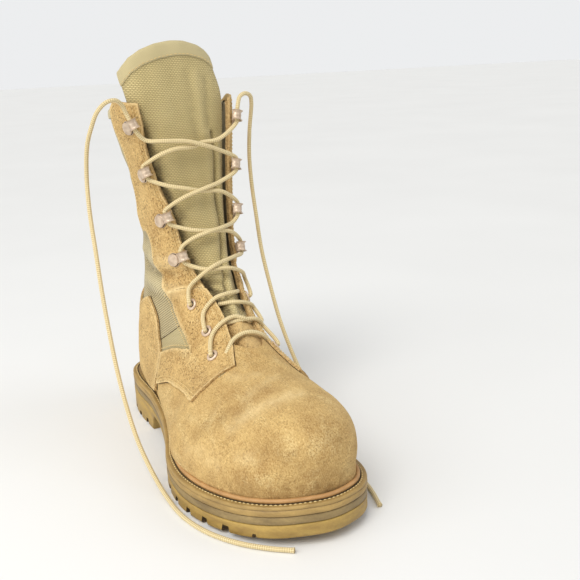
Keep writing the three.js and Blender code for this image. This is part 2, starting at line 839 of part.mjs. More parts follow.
function tube(curve, steps) {
  const circle = Array.from({ length: laceSides }, (_, k) => {
    const angle = (2 * Math.PI * k) / laceSides;
    return new THREE.Vector2(laceRadius * Math.cos(angle), laceRadius * Math.sin(angle));
  });
  const settings = { steps, extrudePath: curve, bevelEnabled: false };
  return solid(new THREE.ExtrudeGeometry(new THREE.Shape(circle), settings));
}

const seatOf = (list, side, row) => list.find((item) => item.side === side && item.row === row);

// Four points of the lace through a hook, from below to above
function throughHook(side, row) {
  const { matrix } = seatOf(hookSeats, side, row);
  const upward = -sides[side].sign;
  return [-7.6, -4.2, 4.2, 7.6].map((rise) => (
    new THREE.Vector3(hook.loopX, upward * rise, hook.loopZ).applyMatrix4(matrix)
  ));
}

// Points of a strand that lies over the tongue between two places
function overTongue(from, to, offset, places) {
  return places.map((t) => {
    const x = THREE.MathUtils.lerp(from.x, to.x, t);
    const z = THREE.MathUtils.lerp(from.z, to.z, t);
    const { u, angle } = spotAt(x, z);
    return formPoint(u, angle, offset);
  });
}

const otherSide = { lateral: 'medial', medial: 'lateral' };

const strandLift = 6.5;

// Route of one half of the lace from its top eyelet to above its top hook
function upperRoute(startSide) {
  const { matrix } = seatOf(eyeletSeats, startSide, 0);
  const points = [
    new THREE.Vector3(0, 0, eyelet.height + laceRadius + 0.4).applyMatrix4(matrix),
    new THREE.Vector3(7, 0, eyelet.height + laceRadius + 0.9).applyMatrix4(matrix),
  ];
  let side = otherSide[startSide];
  for (let row = hookRows.length - 1; row >= 0; row -= 1) {
    const through = throughHook(side, row);
    const from = points[points.length - 1];
    points.push(...overTongue(from, through[0], strandLift, [0.22, 0.5, 0.78]), ...through);
    side = otherSide[side];
  }
  return points;
}

function upperLacing() {
  const steps = 42;
  const halves = ['lateral', 'medial'].map((side) => (
    tube(new THREE.CatmullRomCurve3(upperRoute(side)), steps)
  ));
  return halves[0].add(halves[1]);
}

// The bar and the two crossings that show in the throat between the quarters
function lowerLacing() {
  const offset = laceRadius - wall + 0.3;
  const inFromEdge = 2.4;
  const heights = [101, 112, 124];
  const corner = (sign, z) => new THREE.Vector3(throatEdgeX(sign, z) - sign * inFromEdge, 0, z);
  const strands = [[-1, 1, -1], [1, -1, 1]].map((signs) => {
    const corners = signs.map((sign, k) => corner(sign, heights[k]));
    const points = [
      ...overTongue(corners[0], corners[1], offset, [0, 0.5]),
      ...overTongue(corners[1], corners[2], offset, [0, 0.5, 1]),
    ];
    return tube(new THREE.CatmullRomCurve3(points), 8);
  });
  const bar = overTongue(corner(-1, heights[0]), corner(1, heights[0]), offset, [0, 0.5, 1]);
  return strands[0].add(strands[1]).add(tube(new THREE.CatmullRomCurve3(bar), 4));
}

// A free end follows on from the lace above its top hook
function freeEnd(side, route) {
  const through = throughHook(side, 0);
  const away = new THREE.Vector3().subVectors(through[3], through[2]).normalize();
  const start = [0.5, 4.5].map((rise) => through[3].clone().addScaledVector(away, rise));
  const points = [...start, ...route.map(([x, y, z]) => new THREE.Vector3(x, y, z))];
  const curve = new THREE.CatmullRomCurve3(points, false, 'centripetal');
  return tube(curve, Math.round(curve.getLength() / 9.5));
}

// ---- The group ----

const finishes = {
  suede: { color: 0xd0aa6c, roughness: 0.95, metalness: 0 },
  nylon: { color: 0xb5a67a, roughness: 0.85, metalness: 0 },
  rubber: { color: 0xa88c50, roughness: 0.7, metalness: 0 },
  midsole: { color: 0x958055, roughness: 0.7, metalness: 0 },
  welt: { color: 0xb08a52, roughness: 0.65, metalness: 0 },
  metal: { color: 0xb09684, roughness: 0.45, metalness: 0.3 },
  cord: { color: 0xd8c492, roughness: 0.9, metalness: 0 },
};

const boot = new THREE.Group();

function place(name, body, finish) {
  const material = new THREE.MeshStandardMaterial(finishes[finish]);
  const mesh = new THREE.Mesh(geometryOf(body.simplify(0.08)), material);
  mesh.name = name;
  boot.add(mesh);
}

const pierced = (body) => eyeletHoles().reduce((rest, hole) => rest.subtract(hole), body);

place('outsole', outsoleSolid(), 'rubber');
place('midsole', midsoleSolid(), 'midsole');
place('welt', weltSolid(), 'welt');
place('insole', insoleSolid(), 'cord');
place('upper', pierced(upperSolid()), 'suede');
place('tongue', tongueSolid(), 'nylon');
place('heel_counter', counterSolid(), 'suede');
for (const name of ['lateral', 'medial']) {
  place(`facing_${name}`, facingSolid(sides[name]), 'suede');
  place(`quarter_${name}`, pierced(quarterSolid(sides[name])), 'suede');
}

function placeSeated({ name, matrix }, body) {
  const mesh = new THREE.Mesh(geometryOf(body), new THREE.MeshStandardMaterial(finishes.metal));
  mesh.name = name;
  mesh.applyMatrix4(matrix);
  boot.add(mesh);
}

const hookBody = hookSolid();
const eyeletBody = eyeletSolid();
hookSeats.forEach((item) => placeSeated(item, hookBody));
eyeletSeats.forEach((item) => placeSeated(item, eyeletBody));

place('lacing_upper', upperLacing(), 'cord');
place('lacing_lower', lowerLacing(), 'cord');
place('lace_end_lateral', freeEnd('lateral', lateralEnd), 'cord');
place('lace_end_medial', freeEnd('medial', medialEnd), 'cord');

export default boot;
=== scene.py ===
import math
import random

import bmesh
import bpy
import numpy as np
from mathutils import Matrix, Vector


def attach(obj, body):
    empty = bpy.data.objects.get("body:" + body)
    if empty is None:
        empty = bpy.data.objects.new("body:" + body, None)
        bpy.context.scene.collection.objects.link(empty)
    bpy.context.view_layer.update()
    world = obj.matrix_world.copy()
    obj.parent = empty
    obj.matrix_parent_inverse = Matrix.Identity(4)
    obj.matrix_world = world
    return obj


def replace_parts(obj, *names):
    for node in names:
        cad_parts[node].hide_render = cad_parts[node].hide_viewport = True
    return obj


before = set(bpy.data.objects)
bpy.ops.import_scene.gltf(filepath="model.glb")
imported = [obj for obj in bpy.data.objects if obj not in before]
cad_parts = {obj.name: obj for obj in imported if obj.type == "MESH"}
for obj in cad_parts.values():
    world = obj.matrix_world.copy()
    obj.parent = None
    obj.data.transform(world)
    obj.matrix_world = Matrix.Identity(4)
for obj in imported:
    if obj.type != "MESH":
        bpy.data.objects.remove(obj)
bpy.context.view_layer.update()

mm = 0.001
rng = random.Random(11)

camera = {"place": (-213.3, -680.6, 299.2), "heading": 25.56, "down": 15.76, "roll": -2.28,
          "lens": 52.94}  # millimetres and degrees


def makeCamera():
    data = bpy.data.cameras.new("camera")
    data.lens = camera["lens"]
    data.sensor_width = 36
    data.clip_start = 0.01
    data.clip_end = 20
    obj = bpy.data.objects.new("camera", data)
    bpy.context.scene.collection.objects.link(obj)
    heading, down, roll = (math.radians(camera[k]) for k in ("heading", "down", "roll"))
    ahead = Vector((math.sin(heading) * math.cos(down), math.cos(heading) * math.cos(down), -math.sin(down)))
    right = Vector((math.cos(heading), -math.sin(heading), 0))
    up = right.cross(ahead)
    turnedRight = right * math.cos(roll) + up * math.sin(roll)
    turnedUp = up * math.cos(roll) - right * math.sin(roll)
    turn = Matrix((turnedRight, turnedUp, -ahead)).transposed().to_4x4()
    obj.matrix_world = Matrix.Translation(Vector(camera["place"]) * mm) @ turn
    bpy.context.scene.camera = obj


makeCamera()


def smoothCurve(points, closed=False, spacing=None, count=None):
    # a centripetal curve through the points, resampled evenly
    p = np.array(points, float)
    n = len(p)
    if closed:
        ring = np.vstack([p[-1], p, p[0], p[1]])
        spans = n
    else:
        ring = np.vstack([2 * p[0] - p[1], p, 2 * p[-1] - p[-2]])
        spans = n - 1
    fine = []
    t = np.linspace(0, 1, 24, endpoint=False)[:, None]
    for i in range(spans):
        a, b, c, d = ring[i:i + 4]
        gaps = [max(np.linalg.norm(y - x) ** 0.5, 1e-9) for x, y in ((a, b), (b, c), (c, d))]
        m1 = ((b - a) / gaps[0] - (c - a) / (gaps[0] + gaps[1]) + (c - b) / gaps[1]) * gaps[1]
        m2 = ((c - b) / gaps[1] - (d - b) / (gaps[1] + gaps[2]) + (d - c) / gaps[2]) * gaps[1]
        fine.append((2 * t**3 - 3 * t**2 + 1) * b + (t**3 - 2 * t**2 + t) * m1
                    + (3 * t**2 - 2 * t**3) * c + (t**3 - t**2) * m2)
    fine = np.vstack(fine + [ring[spans + 1][None]])
    run = np.concatenate([[0], np.cumsum(np.linalg.norm(np.diff(fine, axis=0), axis=1))])
    steps = count or max(2, int(round(run[-1] / spacing)))
    at = np.linspace(0, run[-1], steps + 1)
    even = np.stack([np.interp(at, run, fine[:, k]) for k in range(p.shape[1])], 1)
    return even[:-1] if closed else even


def along(rows, at, by=0, column=1):
    # smooth value of a column through rows ordered by another
    table = np.array(sorted(rows, key=lambda r: r[by]), float)
    x, y = table[:, by], table[:, column]
    at = np.clip(np.asarray(at, float), x[0], x[-1])
    i = np.clip(np.searchsorted(x, at) - 1, 0, len(x) - 2)
    low, high = np.maximum(np.arange(len(x)) - 1, 0), np.minimum(np.arange(len(x)) + 1, len(x) - 1)
    slope = (y[high] - y[low]) / (x[high] - x[low])
    width = x[i + 1] - x[i]
    t = (at - x[i]) / width
    return ((2 * t**3 - 3 * t**2 + 1) * y[i] + (t**3 - 2 * t**2 + t) * width * slope[i]
            + (3 * t**2 - 2 * t**3) * y[i + 1] + (t**3 - t**2) * width * slope[i + 1])


def bump(distance, width):
    return np.exp(-(np.asarray(distance) / width) ** 2)


def lineDistance(points, line):
    # distance of each point from a polyline
    best = np.full(points.shape[:-1], 1e9)
    line = np.array(line, float)
    for a, b in zip(line[:-1], line[1:]):
        run = b - a
        t = np.clip(((points - a) @ run) / max(run @ run, 1e-12), 0, 1)
        best = np.minimum(best, np.linalg.norm(points - (a + t[..., None] * run), axis=-1))
    return best


# sizes of the boot, in millimetres, as in the part's source
heelBack = 40
wall = 2.2
overlayThickness = 1.9
gap = 0.3

# distance from the back end, lateral half width, medial half width
outlineRows = [(2, 13, 13), (8, 25, 24), (20, 34.5, 33.5), (45, 39.5, 38.5), (85, 39, 36.5),
               (120, 42, 34.5), (150, 49, 37.5), (180, 58, 44), (205, 61, 50.5), (225, 59.5, 55),
               (250, 53, 56.5), (275, 41, 51), (292, 25.5, 40), (301, 8, 26)]
toeTip = (9, 305)
# y, height of the line where upper and sole meet
featherRows = [(40, 34.5), (0, 34), (-45, 32), (-80, 27.6), (-115, 23.8), (-150, 22.8),
               (-185, 23), (-215, 24.6), (-240, 27.2), (-270, 31.4)]
# y, height of the tread
treadRows = [(42, 2.4), (34, 0), (-42, 0), (-46.5, 12), (-56, 13.6), (-72, 12.6), (-92, 8.4),
             (-110, 3.2), (-122, 0), (-176, 0), (-200, 1.2), (-222, 3.1), (-244, 5.6), (-268, 9)]
# front point x, y, z; low point y, z; inset from the sole or None; half widths; widest place; powers
sections = [
    (9, -257.3, 51, -256.8, 37, 7.5, 0, 0, 0.5, 2, 2),
    (9, -256, 59.5, -255, 28, 7.5, 0, 0, 0.45, 2.1, 2.8),
    (10.5, -251, 67.5, -249.5, 22, 7.5, 0, 0, 0.4, 2.2, 4),
    (12, -242, 74.5, -240, 18, 7.5, 0, 0, 0.36, 2.25, 5),
    (13, -228, 79.5, -225, 16, 7.6, 0, 0, 0.33, 2.2, 5),
    (13.5, -209, 82, -204, 14.5, 7.6, 0, 0, 0.3, 2.1, 5),
    (13.5, -187, 83.5, -181, 14, 6.8, 0, 0, 0.3, 2, 5),
    (14, -166, 86.5, -157, 14, 4.8, 0, 0, 0.28, 1.9, 5),
    (14.5, -147, 92, -133, 14, 2.8, 0, 0, 0.26, 1.82, 5),
    (14.5, -130, 99.5, -108, 15, 2, 0, 0, 0.25, 1.78, 4.6),
    (14.5, -114, 109.5, -80, 18, None, 41, 35, 0.25, 1.78, 4.2),
    (14, -101, 120.5, -52, 22, None, 37, 37.5, 0.25, 1.82, 3.9),
    (13.5, -91.5, 131.5, -25, 24, None, 34, 38, 0.25, 1.9, 3.6),
    (13, -84.5, 141.5, 0, 24, None, 32.5, 37.5, 0.28, 2.05, 3.2),
    (12, -79, 151, 20, 25, None, 31.5, 37, 0.32, 2.2, 2.8),
    (11, -74.5, 160, 32.5, 37, None, 30, 38, 0.37, 2.4, 2.5),
    (10, -71, 169, 35, 58, None, 27, 39.5, 0.42, 2.6, 2.4),
    (9, -68, 178.5, 33.5, 82, None, 24.5, 41, 0.46, 2.8, 2.3),
    (8.5, -65.5, 189, 30, 108, None, 23.5, 42, 0.5, 3, 2.2),
    (8, -63.5, 202, 28, 138, None, 24.5, 43, 0.53, 3.1, 2.2),
    (7.5, -62, 219, 29, 172, None, 27, 44, 0.55, 3.2, 2.2),
    (6, -61.5, 238, 32, 207, None, 33, 45, 0.55, 3.3, 2.2),
    (4, -61.5, 256, 35.5, 240, None, 40, 46.5, 0.55, 3.3, 2.2),
    (2, -61, 272, 38, 268, None, 43.5, 47, 0.55, 3.2, 2.2),
    (-2, -59, 290, 39, 290, None, 46, 44, 0.55, 3, 2.2),
    (-6, -56, 312, 40, 312, None, 47, 40, 0.55, 2.8, 2.2),
]
# z, middle and half width of the throat
throatRows = [(97, 13.5, 10.5), (110, 14.5, 9.8), (126, 14, 13.5), (143, 13.5, 19), (168, 11.5, 21.8),
              (184, 9.8, 23.5), (203, 7.3, 27), (220, 6, 29.6), (243, 4.8, 33), (290, 3, 36)]
collar = {"frontY": -70, "frontZ": 264, "backY": 50, "backZ": 253}

left = [(-r[1], heelBack - r[0]) for r in outlineRows]
right = [(r[2], heelBack - r[0]) for r in outlineRows]
toe = (toeTip[0], heelBack - toeTip[1])
plan = smoothCurve([(0, heelBack), *left, toe, *right[::-1]], closed=True, count=260)


def planInset(inset):
    run = np.roll(plan, -1, 0) - np.roll(plan, 1, 0)
    run /= np.linalg.norm(run, axis=1)[:, None]
    inset = np.asarray(inset, float)
    return plan + np.stack([-run[:, 1], run[:, 0]], 1) * (inset[:, None] if inset.ndim else inset)


def edgesAt(points, y):
    nxt = np.roll(points, -1, 0)
    hit = (points[:, 1] - y) * (nxt[:, 1] - y) <= 0
    a, b = points[hit], nxt[hit]
    x = a[:, 0] + (b[:, 0] - a[:, 0]) * (y - a[:, 1]) / (b[:, 1] - a[:, 1])
    return x.min(), x.max()


featherAt = lambda y: along(featherRows, y)
treadAt = lambda y: np.maximum(along(treadRows, y), 0)

names = ("topX", "topY", "topZ", "lowY", "lowZ", "inset", "lateral", "medial", "wide", "front", "low")
columns = {}
for k, name in enumerate(names):
    columns[name] = np.array([0 if row[k] is None else row[k] for row in sections], float)
for k, row in enumerate(sections):
    if row[5] is not None:
        least, most = edgesAt(planInset(row[5]), row[3])
        columns["lateral"][k], columns["medial"][k] = -least, most
columns["middle"] = (columns["medial"] - columns["lateral"]) / 2
columns["half"] = (columns["medial"] + columns["lateral"]) / 2


def sectionValue(name, u):
    v = columns[name]
    last = len(v) - 1
    place = np.clip(u, 0, 1) * last
    i = np.minimum(place.astype(int), last - 1)
    t = place - i
    at = lambda k: v[np.clip(k, 0, last)]
    return ((2 * t**3 - 3 * t**2 + 1) * at(i) + (t**3 - 2 * t**2 + t) * (at(i + 1) - at(i - 1)) / 2
            + (3 * t**2 - 2 * t**3) * at(i + 1) + (t**3 - t**2) * (at(i + 2) - at(i)) / 2)


def basePoint(u, angle):
    # a place on the outside of the upper: angle 0 is the front middle line, minus is lateral
    u, angle = np.broadcast_arrays(np.asarray(u, float), np.asarray(angle, float))
    around, side = np.abs(angle), np.sign(angle)
    wide, half = sectionValue("wide", u), sectionValue("half", u)
    inFront = around <= math.pi / 2
    power = 2 / np.where(inFront, sectionValue("front", u), sectionValue("low", u))
    across = np.abs(np.sin(around)) ** power
    reach = np.abs(np.cos(around)) ** power
    rise = np.where(inFront, wide + (1 - wide) * reach, wide * (1 - reach))
    middle = sectionValue("middle", u)
    lean = sectionValue("topX", u) - middle
    x = middle + lean * np.maximum(rise - wide, 0) / (1 - wide) + side * half * across
    mix = lambda a, b: sectionValue(a, u) * (1 - rise) + sectionValue(b, u) * rise
    return np.stack([x, mix("lowY", "topY"), mix("lowZ", "topZ")], -1)


def normalAt(u, angle):
    alongU = basePoint(np.minimum(u + 0.004, 1), angle) - basePoint(np.maximum(u - 0.004, 0), angle)
    alongAngle = basePoint(u, angle + 0.03) - basePoint(u, angle - 0.03)
    n = np.cross(alongAngle, alongU)
    return n / np.maximum(np.linalg.norm(n, axis=-1, keepdims=True), 1e-9)


def formPoint(u, angle, lift):
    u, angle = np.asarray(u, float), np.asarray(angle, float)
    lift = np.asarray(lift, float)
    return basePoint(u, angle) + normalAt(u, angle) * (lift[..., None] if lift.ndim else lift)


searchU = np.linspace(0.02, 1, 280)
planes = {"side": (1, 2), "front": (0, 2), "plan": (0, 1)}


def locate(plane, points, sign):
    # places on the form for points seen in one plane, on one side
    axes = list(planes[plane])
    reach = math.pi if plane == "side" else 1.75
    angles = sign * np.linspace(0.0 if plane == "side" else -0.6, reach, 240)
    grid = basePoint(searchU[:, None], angles[None, :])[..., axes]
    found = []
    for p in np.array(points, float):
        k = np.argmin(((grid - p) ** 2).sum(-1))
        u, a = searchU[k // 240], angles[k % 240]
        for _ in range(6):
            here = basePoint(u, a)[axes]
            du = (basePoint(u + 1e-4, a)[axes] - here) / 1e-4
            da = (basePoint(u, a + 1e-4)[axes] - here) / 1e-4
            m = np.stack([du, da], 1)
            if abs(np.linalg.det(m)) < 1e-3:
                break
            step = np.linalg.solve(m.T @ m + np.eye(2) * 1e-3, m.T @ (p - here))
            u = float(np.clip(u + np.clip(step[0], -0.01, 0.01), 0.005, 1))
            a = float(a + np.clip(step[1], -0.05, 0.05))
        found.append((u, a))
    return np.array(found)


throatX = lambda sign, z: along(throatRows, z) + sign * along(throatRows, z, column=2)
print("form ready")


def socketGroup(name, inputs, outputs):
    tree = bpy.data.node_groups.new(name, "ShaderNodeTree")
    for label, kind, value in inputs:
        socket = tree.interface.new_socket(label, in_out="INPUT", socket_type=kind)
        if value is not None:
            socket.default_value = value
    for label, kind in outputs:
        tree.interface.new_socket(label, in_out="OUTPUT", socket_type=kind)
    return tree, tree.nodes.new("NodeGroupInput"), tree.nodes.new("NodeGroupOutput")


def node(tree, kind, values=None, **settings):
    made = tree.nodes.new(kind)
    for key, value in settings.items():
        setattr(made, key, value)
    for key, value in (values or {}).items():
        if isinstance(value, bpy.types.NodeSocket):
            tree.links.new(value, made.inputs[key])
        else:
            made.inputs[key].default_value = value
    return made


def maths(tree, operation, a, b=0.0, clamp=False):
    return node(tree, "ShaderNodeMath", {0: a, 1: b}, operation=operation, use_clamp=clamp).outputs[0]


def mixed(tree, factor, a, b, blend="MIX"):
    made = node(tree, "ShaderNodeMix", data_type="RGBA", blend_type=blend)
    for slotIndex, value in ((0, factor), (6, a), (7, b)):
        if isinstance(value, bpy.types.NodeSocket):
            tree.links.new(value, made.inputs[slotIndex])
        else:
            made.inputs[slotIndex].default_value = value
    return made.outputs[2]


def ramp(tree, value, low, high):
    return node(tree, "ShaderNodeMapRange", {0: value, 1: low, 2: high}, clamp=True).outputs[0]


def noise(tree, place, scale, detail=3.0, roughness=0.55):
    return node(tree, "ShaderNodeTexNoise", {"Vector": place, "Scale": scale, "Detail": detail,
                                             "Roughness": roughness}).outputs["Fac"]


def napGroup():
    # brushed suede: cloudy tone, fine fibres, dark specks and pale scuffs
    tree, entry, leaving = socketGroup(
        "nap", [("Fibre", "NodeSocketFloat", 900.0), ("Cloud", "NodeSocketFloat", 28.0)],
        [("Tone", "NodeSocketFloat"), ("Specks", "NodeSocketFloat"),
         ("Scuffs", "NodeSocketFloat"), ("Height", "NodeSocketFloat")])
    place = node(tree, "ShaderNodeTexCoord").outputs["Object"]
    cloud = noise(tree, place, entry.outputs["Cloud"], 5.0, 0.6)
    patches = noise(tree, place, 95.0, 4.0, 0.6)
    tone = maths(tree, "ADD", maths(tree, "MULTIPLY", cloud, 0.6), maths(tree, "MULTIPLY", patches, 0.4))
    fibre = noise(tree, place, entry.outputs["Fibre"], 3.0, 0.7)
    stretched = node(tree, "ShaderNodeMapping",
                     {"Vector": place, "Rotation": (0.3, 0.2, 0.6), "Scale": (1, 0.22, 0.5)})
    hair = noise(tree, stretched.outputs[0], 1500.0, 2.0, 0.6)
    grain = maths(tree, "ADD", maths(tree, "MULTIPLY", fibre, 0.6), maths(tree, "MULTIPLY", hair, 0.4))
    tree.links.new(ramp(tree, tone, 0.36, 0.64), leaving.inputs["Tone"])
    speck = maths(tree, "MULTIPLY", ramp(tree, noise(tree, place, 720.0, 2.0, 0.6), 0.53, 0.64),
                  ramp(tree, noise(tree, place, 70.0, 3.0), 0.34, 0.56))
    tree.links.new(speck, leaving.inputs["Specks"])
    streaks = node(tree, "ShaderNodeMapping",
                   {"Vector": place, "Rotation": (0.2, 0.1, -0.7), "Scale": (1, 0.3, 0.8)})
    scuff = maths(tree, "MULTIPLY", ramp(tree, noise(tree, streaks.outputs[0], 70.0, 5.0, 0.65), 0.52, 0.7),
                  ramp(tree, grain, 0.42, 0.6))
    tree.links.new(scuff, leaving.inputs["Scuffs"])
    tree.links.new(grain, leaving.inputs["Height"])
    return tree


def weaveGroup():
    # plain weave of coarse yarns seen across two axes of the piece; the tone is darker in the gaps between
    # yarns, as painted shade
    tree, entry, leaving = socketGroup(
        "weave", [("Across", "NodeSocketFloat", 450.0), ("Up", "NodeSocketFloat", 830.0),
                  ("Breaks", "NodeSocketFloat", 1.0), ("Place", "NodeSocketVector", None)],
        [("YarnAndGapShade", "NodeSocketFloat"), ("Height", "NodeSocketFloat")])
    parts = node(tree, "ShaderNodeSeparateXYZ", {0: entry.outputs["Place"]})
    row = maths(tree, "MULTIPLY", parts.outputs[1], entry.outputs["Up"])
    odd = maths(tree, "MULTIPLY", maths(tree, "FLOOR", row), 0.5)
    column = maths(tree, "ADD", maths(tree, "MULTIPLY", parts.outputs[0], entry.outputs["Across"]), odd)
    wave = lambda v: maths(tree, "ABSOLUTE", maths(tree, "SINE", maths(tree, "MULTIPLY", v, math.pi)))
    dips = maths(tree, "SUBTRACT", maths(tree, "POWER", wave(column), 0.5), 1.0)
    broken = maths(tree, "MULTIPLY", dips, entry.outputs["Breaks"])
    height = maths(tree, "MULTIPLY", maths(tree, "POWER", wave(row), 0.6), maths(tree, "ADD", broken, 1.0))
    tree.links.new(height, leaving.inputs["Height"])
    thread = node(tree, "ShaderNodeTexNoise",
                  {"Vector": entry.outputs["Place"], "Scale": 1400.0, "Detail": 2.0}).outputs["Fac"]
    yarnAndGapShade = maths(tree, "ADD", maths(tree, "MULTIPLY", height, 0.75), maths(tree, "MULTIPLY", thread, 0.3))
    tree.links.new(yarnAndGapShade, leaving.inputs["YarnAndGapShade"])
    return tree


def wearAndShadeGroup():
    # lighter wear and painted highlight, darker dirt and painted shade, from the pieces' own values, broken
    # up by noise
    tree, entry, leaving = socketGroup("wearAndShade", [("Scale", "NodeSocketFloat", 160.0)],
                                     [("WornAndHighlight", "NodeSocketFloat"), ("GrimeAndShade", "NodeSocketFloat")])
    place = node(tree, "ShaderNodeTexCoord").outputs["Object"]
    broken = noise(tree, place, entry.outputs["Scale"], 5.0, 0.65)
    for name in ("WornAndHighlight", "GrimeAndShade"):
        amount = node(tree, "ShaderNodeAttribute", attribute_name=name.lower()).outputs["Fac"]
        value = maths(tree, "MULTIPLY", amount, ramp(tree, broken, 0.25, 0.7), clamp=True)
        tree.links.new(value, leaving.inputs[name])
    return tree


groups = {"nap": napGroup(), "weave": weaveGroup(), "wearAndShade": wearAndShadeGroup()}


def group(tree, name, values=None):
    made = tree.nodes.new("ShaderNodeGroup")
    made.node_tree = groups[name]
    for key, value in (values or {}).items():
        if isinstance(value, bpy.types.NodeSocket):
            tree.links.new(value, made.inputs[key])
        else:
            made.inputs[key].default_value = value
    return made


def newMaterial(name, roughness=0.8, **fixed):
    material = bpy.data.materials.new(name)
    material.use_nodes = True
    tree = material.node_tree
    shader = tree.nodes["Principled BSDF"]
    shader.inputs["Roughness"].default_value = roughness
    for key, value in fixed.items():
        shader.inputs[key.replace("_", " ")].default_value = value
    return material, tree, shader


def srgb(red, green, blue):
    lin = lambda v: (v / 255 / 12.92) if v <= 10 else ((v / 255 + 0.055) / 1.055) ** 2.4
    return (lin(red), lin(green), lin(blue), 1)


def addBump(tree, shader, height, distance, strength=0.8):
    made = node(tree, "ShaderNodeBump", {"Height": height, "Distance": distance, "Strength": strength})
    tree.links.new(made.outputs[0], shader.inputs["Normal"])


def suedeMaterial(name, light, dark, fibre=900.0, specks=0.75):
    material, tree, shader = newMaterial(name, 0.95, Sheen_Weight=0.35, Sheen_Roughness=0.45)
    shader.inputs["Sheen Tint"].default_value = srgb(250, 225, 170)
    shader.inputs["Specular IOR Level"].default_value = 0.2
    nap = group(tree, "nap", {"Fibre": fibre})
    wearAndShade = group(tree, "wearAndShade")
    colour = mixed(tree, nap.outputs["Tone"], dark, light)
    grain = ramp(tree, nap.outputs["Height"], 0.35, 0.65)
    colour = mixed(tree, 0.46, colour, mixed(tree, grain, srgb(124, 90, 46), srgb(240, 212, 152)))
    colour = mixed(tree, maths(tree, "MULTIPLY", nap.outputs["Scuffs"], 0.5), colour, srgb(246, 226, 170))
    colour = mixed(tree, maths(tree, "MULTIPLY", nap.outputs["Specks"], specks), colour, srgb(96, 68, 36))
    # pale for wear and painted highlight, dark for dirt and painted shade, from the pieces' own values
    colour = mixed(tree, wearAndShade.outputs["WornAndHighlight"], colour, srgb(240, 216, 164))
    colour = mixed(tree, wearAndShade.outputs["GrimeAndShade"], colour, srgb(122, 88, 46))
    tree.links.new(colour, shader.inputs["Base Color"])
    addBump(tree, shader, nap.outputs["Height"], 0.0012, 0.75)
    return material


def clothMaterial(name, light, dark, axes, across, up, depth=0.0004, roughness=0.72, turned=0.0, breaks=1.0):
    material, tree, shader = newMaterial(name, roughness, Sheen_Weight=0.15)
    place = node(tree, "ShaderNodeTexCoord").outputs["Object"]
    parts = node(tree, "ShaderNodeSeparateXYZ", {0: place})
    flat = node(tree, "ShaderNodeCombineXYZ", {0: parts.outputs[axes[0]], 1: parts.outputs[axes[1]]})
    flat = node(tree, "ShaderNodeMapping", {"Vector": flat.outputs[0], "Rotation": (0, 0, turned)})
    weave = group(tree, "weave", {"Across": across, "Up": up, "Breaks": breaks, "Place": flat.outputs[0]})
    wearAndShade = group(tree, "wearAndShade")
    # yarn tone, darker between the yarns as painted shade
    colour = mixed(tree, ramp(tree, weave.outputs["YarnAndGapShade"], 0.15, 0.95), dark, light)
    cloud = ramp(tree, noise(tree, place, 22.0, 4.0), 0.35, 0.7)
    colour = mixed(tree, maths(tree, "MULTIPLY", cloud, 0.35), colour, dark)
    # pale for wear and painted highlight, dark for dirt and painted shade, from the pieces' own values
    colour = mixed(tree, wearAndShade.outputs["WornAndHighlight"], colour, srgb(222, 208, 164))
    colour = mixed(tree, wearAndShade.outputs["GrimeAndShade"], colour, srgb(92, 78, 48))
    tree.links.new(colour, shader.inputs["Base Color"])
    addBump(tree, shader, weave.outputs["Height"], depth, 0.8)
    return material


def rubberMaterial(name, light, dark, roughness=0.5):
    material, tree, shader = newMaterial(name, roughness)
    place = node(tree, "ShaderNodeTexCoord").outputs["Object"]
    wearAndShade = group(tree, "wearAndShade", {"Scale": 240.0})
    streak = node(tree, "ShaderNodeMapping", {"Vector": place, "Scale": (1, 1, 4)})
    cloud = ramp(tree, noise(tree, streak.outputs[0], 45.0, 6.0, 0.65), 0.3, 0.7)
    colour = mixed(tree, cloud, dark, light)
    mottle = ramp(tree, noise(tree, place, 700.0, 3.0), 0.45, 0.75)
    colour = mixed(tree, maths(tree, "MULTIPLY", mottle, 0.25), colour, dark)
    # pale for wear and painted highlight, dark for dirt and painted shade, from the pieces' own values
    colour = mixed(tree, wearAndShade.outputs["WornAndHighlight"], colour, srgb(224, 196, 132))
    colour = mixed(tree, wearAndShade.outputs["GrimeAndShade"], colour, srgb(84, 66, 38))
    tree.links.new(colour, shader.inputs["Base Color"])
    tree.links.new(ramp(tree, cloud, -1.6, 2.2), shader.inputs["Roughness"])
    addBump(tree, shader, noise(tree, place, 520.0, 4.0, 0.6), 0.0005, 0.35)
    return material


def metalMaterial(name, light, dark, roughness):
    # thin paint over metal, with pale rubbed scratches scattered by noise
    coat = {"Coat_Weight": 0.25, "Coat_Roughness": 0.3}
    material, tree, shader = newMaterial(name, roughness, Metallic=0.25, **coat)
    place = node(tree, "ShaderNodeTexCoord").outputs["Object"]
    cloud = ramp(tree, noise(tree, place, 260.0, 5.0, 0.6), 0.35, 0.68)
    colour = mixed(tree, cloud, dark, light)
    scratch = node(tree, "ShaderNodeMapping",
                   {"Vector": place, "Rotation": (0.4, 0.9, 0.2), "Scale": (1, 0.12, 1)})
    rub = ramp(tree, noise(tree, scratch.outputs[0], 1500.0, 2.0), 0.62, 0.75)
    colour = mixed(tree, maths(tree, "MULTIPLY", rub, 0.4), colour, srgb(236, 216, 200))
    tree.links.new(colour, shader.inputs["Base Color"])
    addBump(tree, shader, noise(tree, place, 700.0, 2.0), 0.00003, 0.2)
    return material


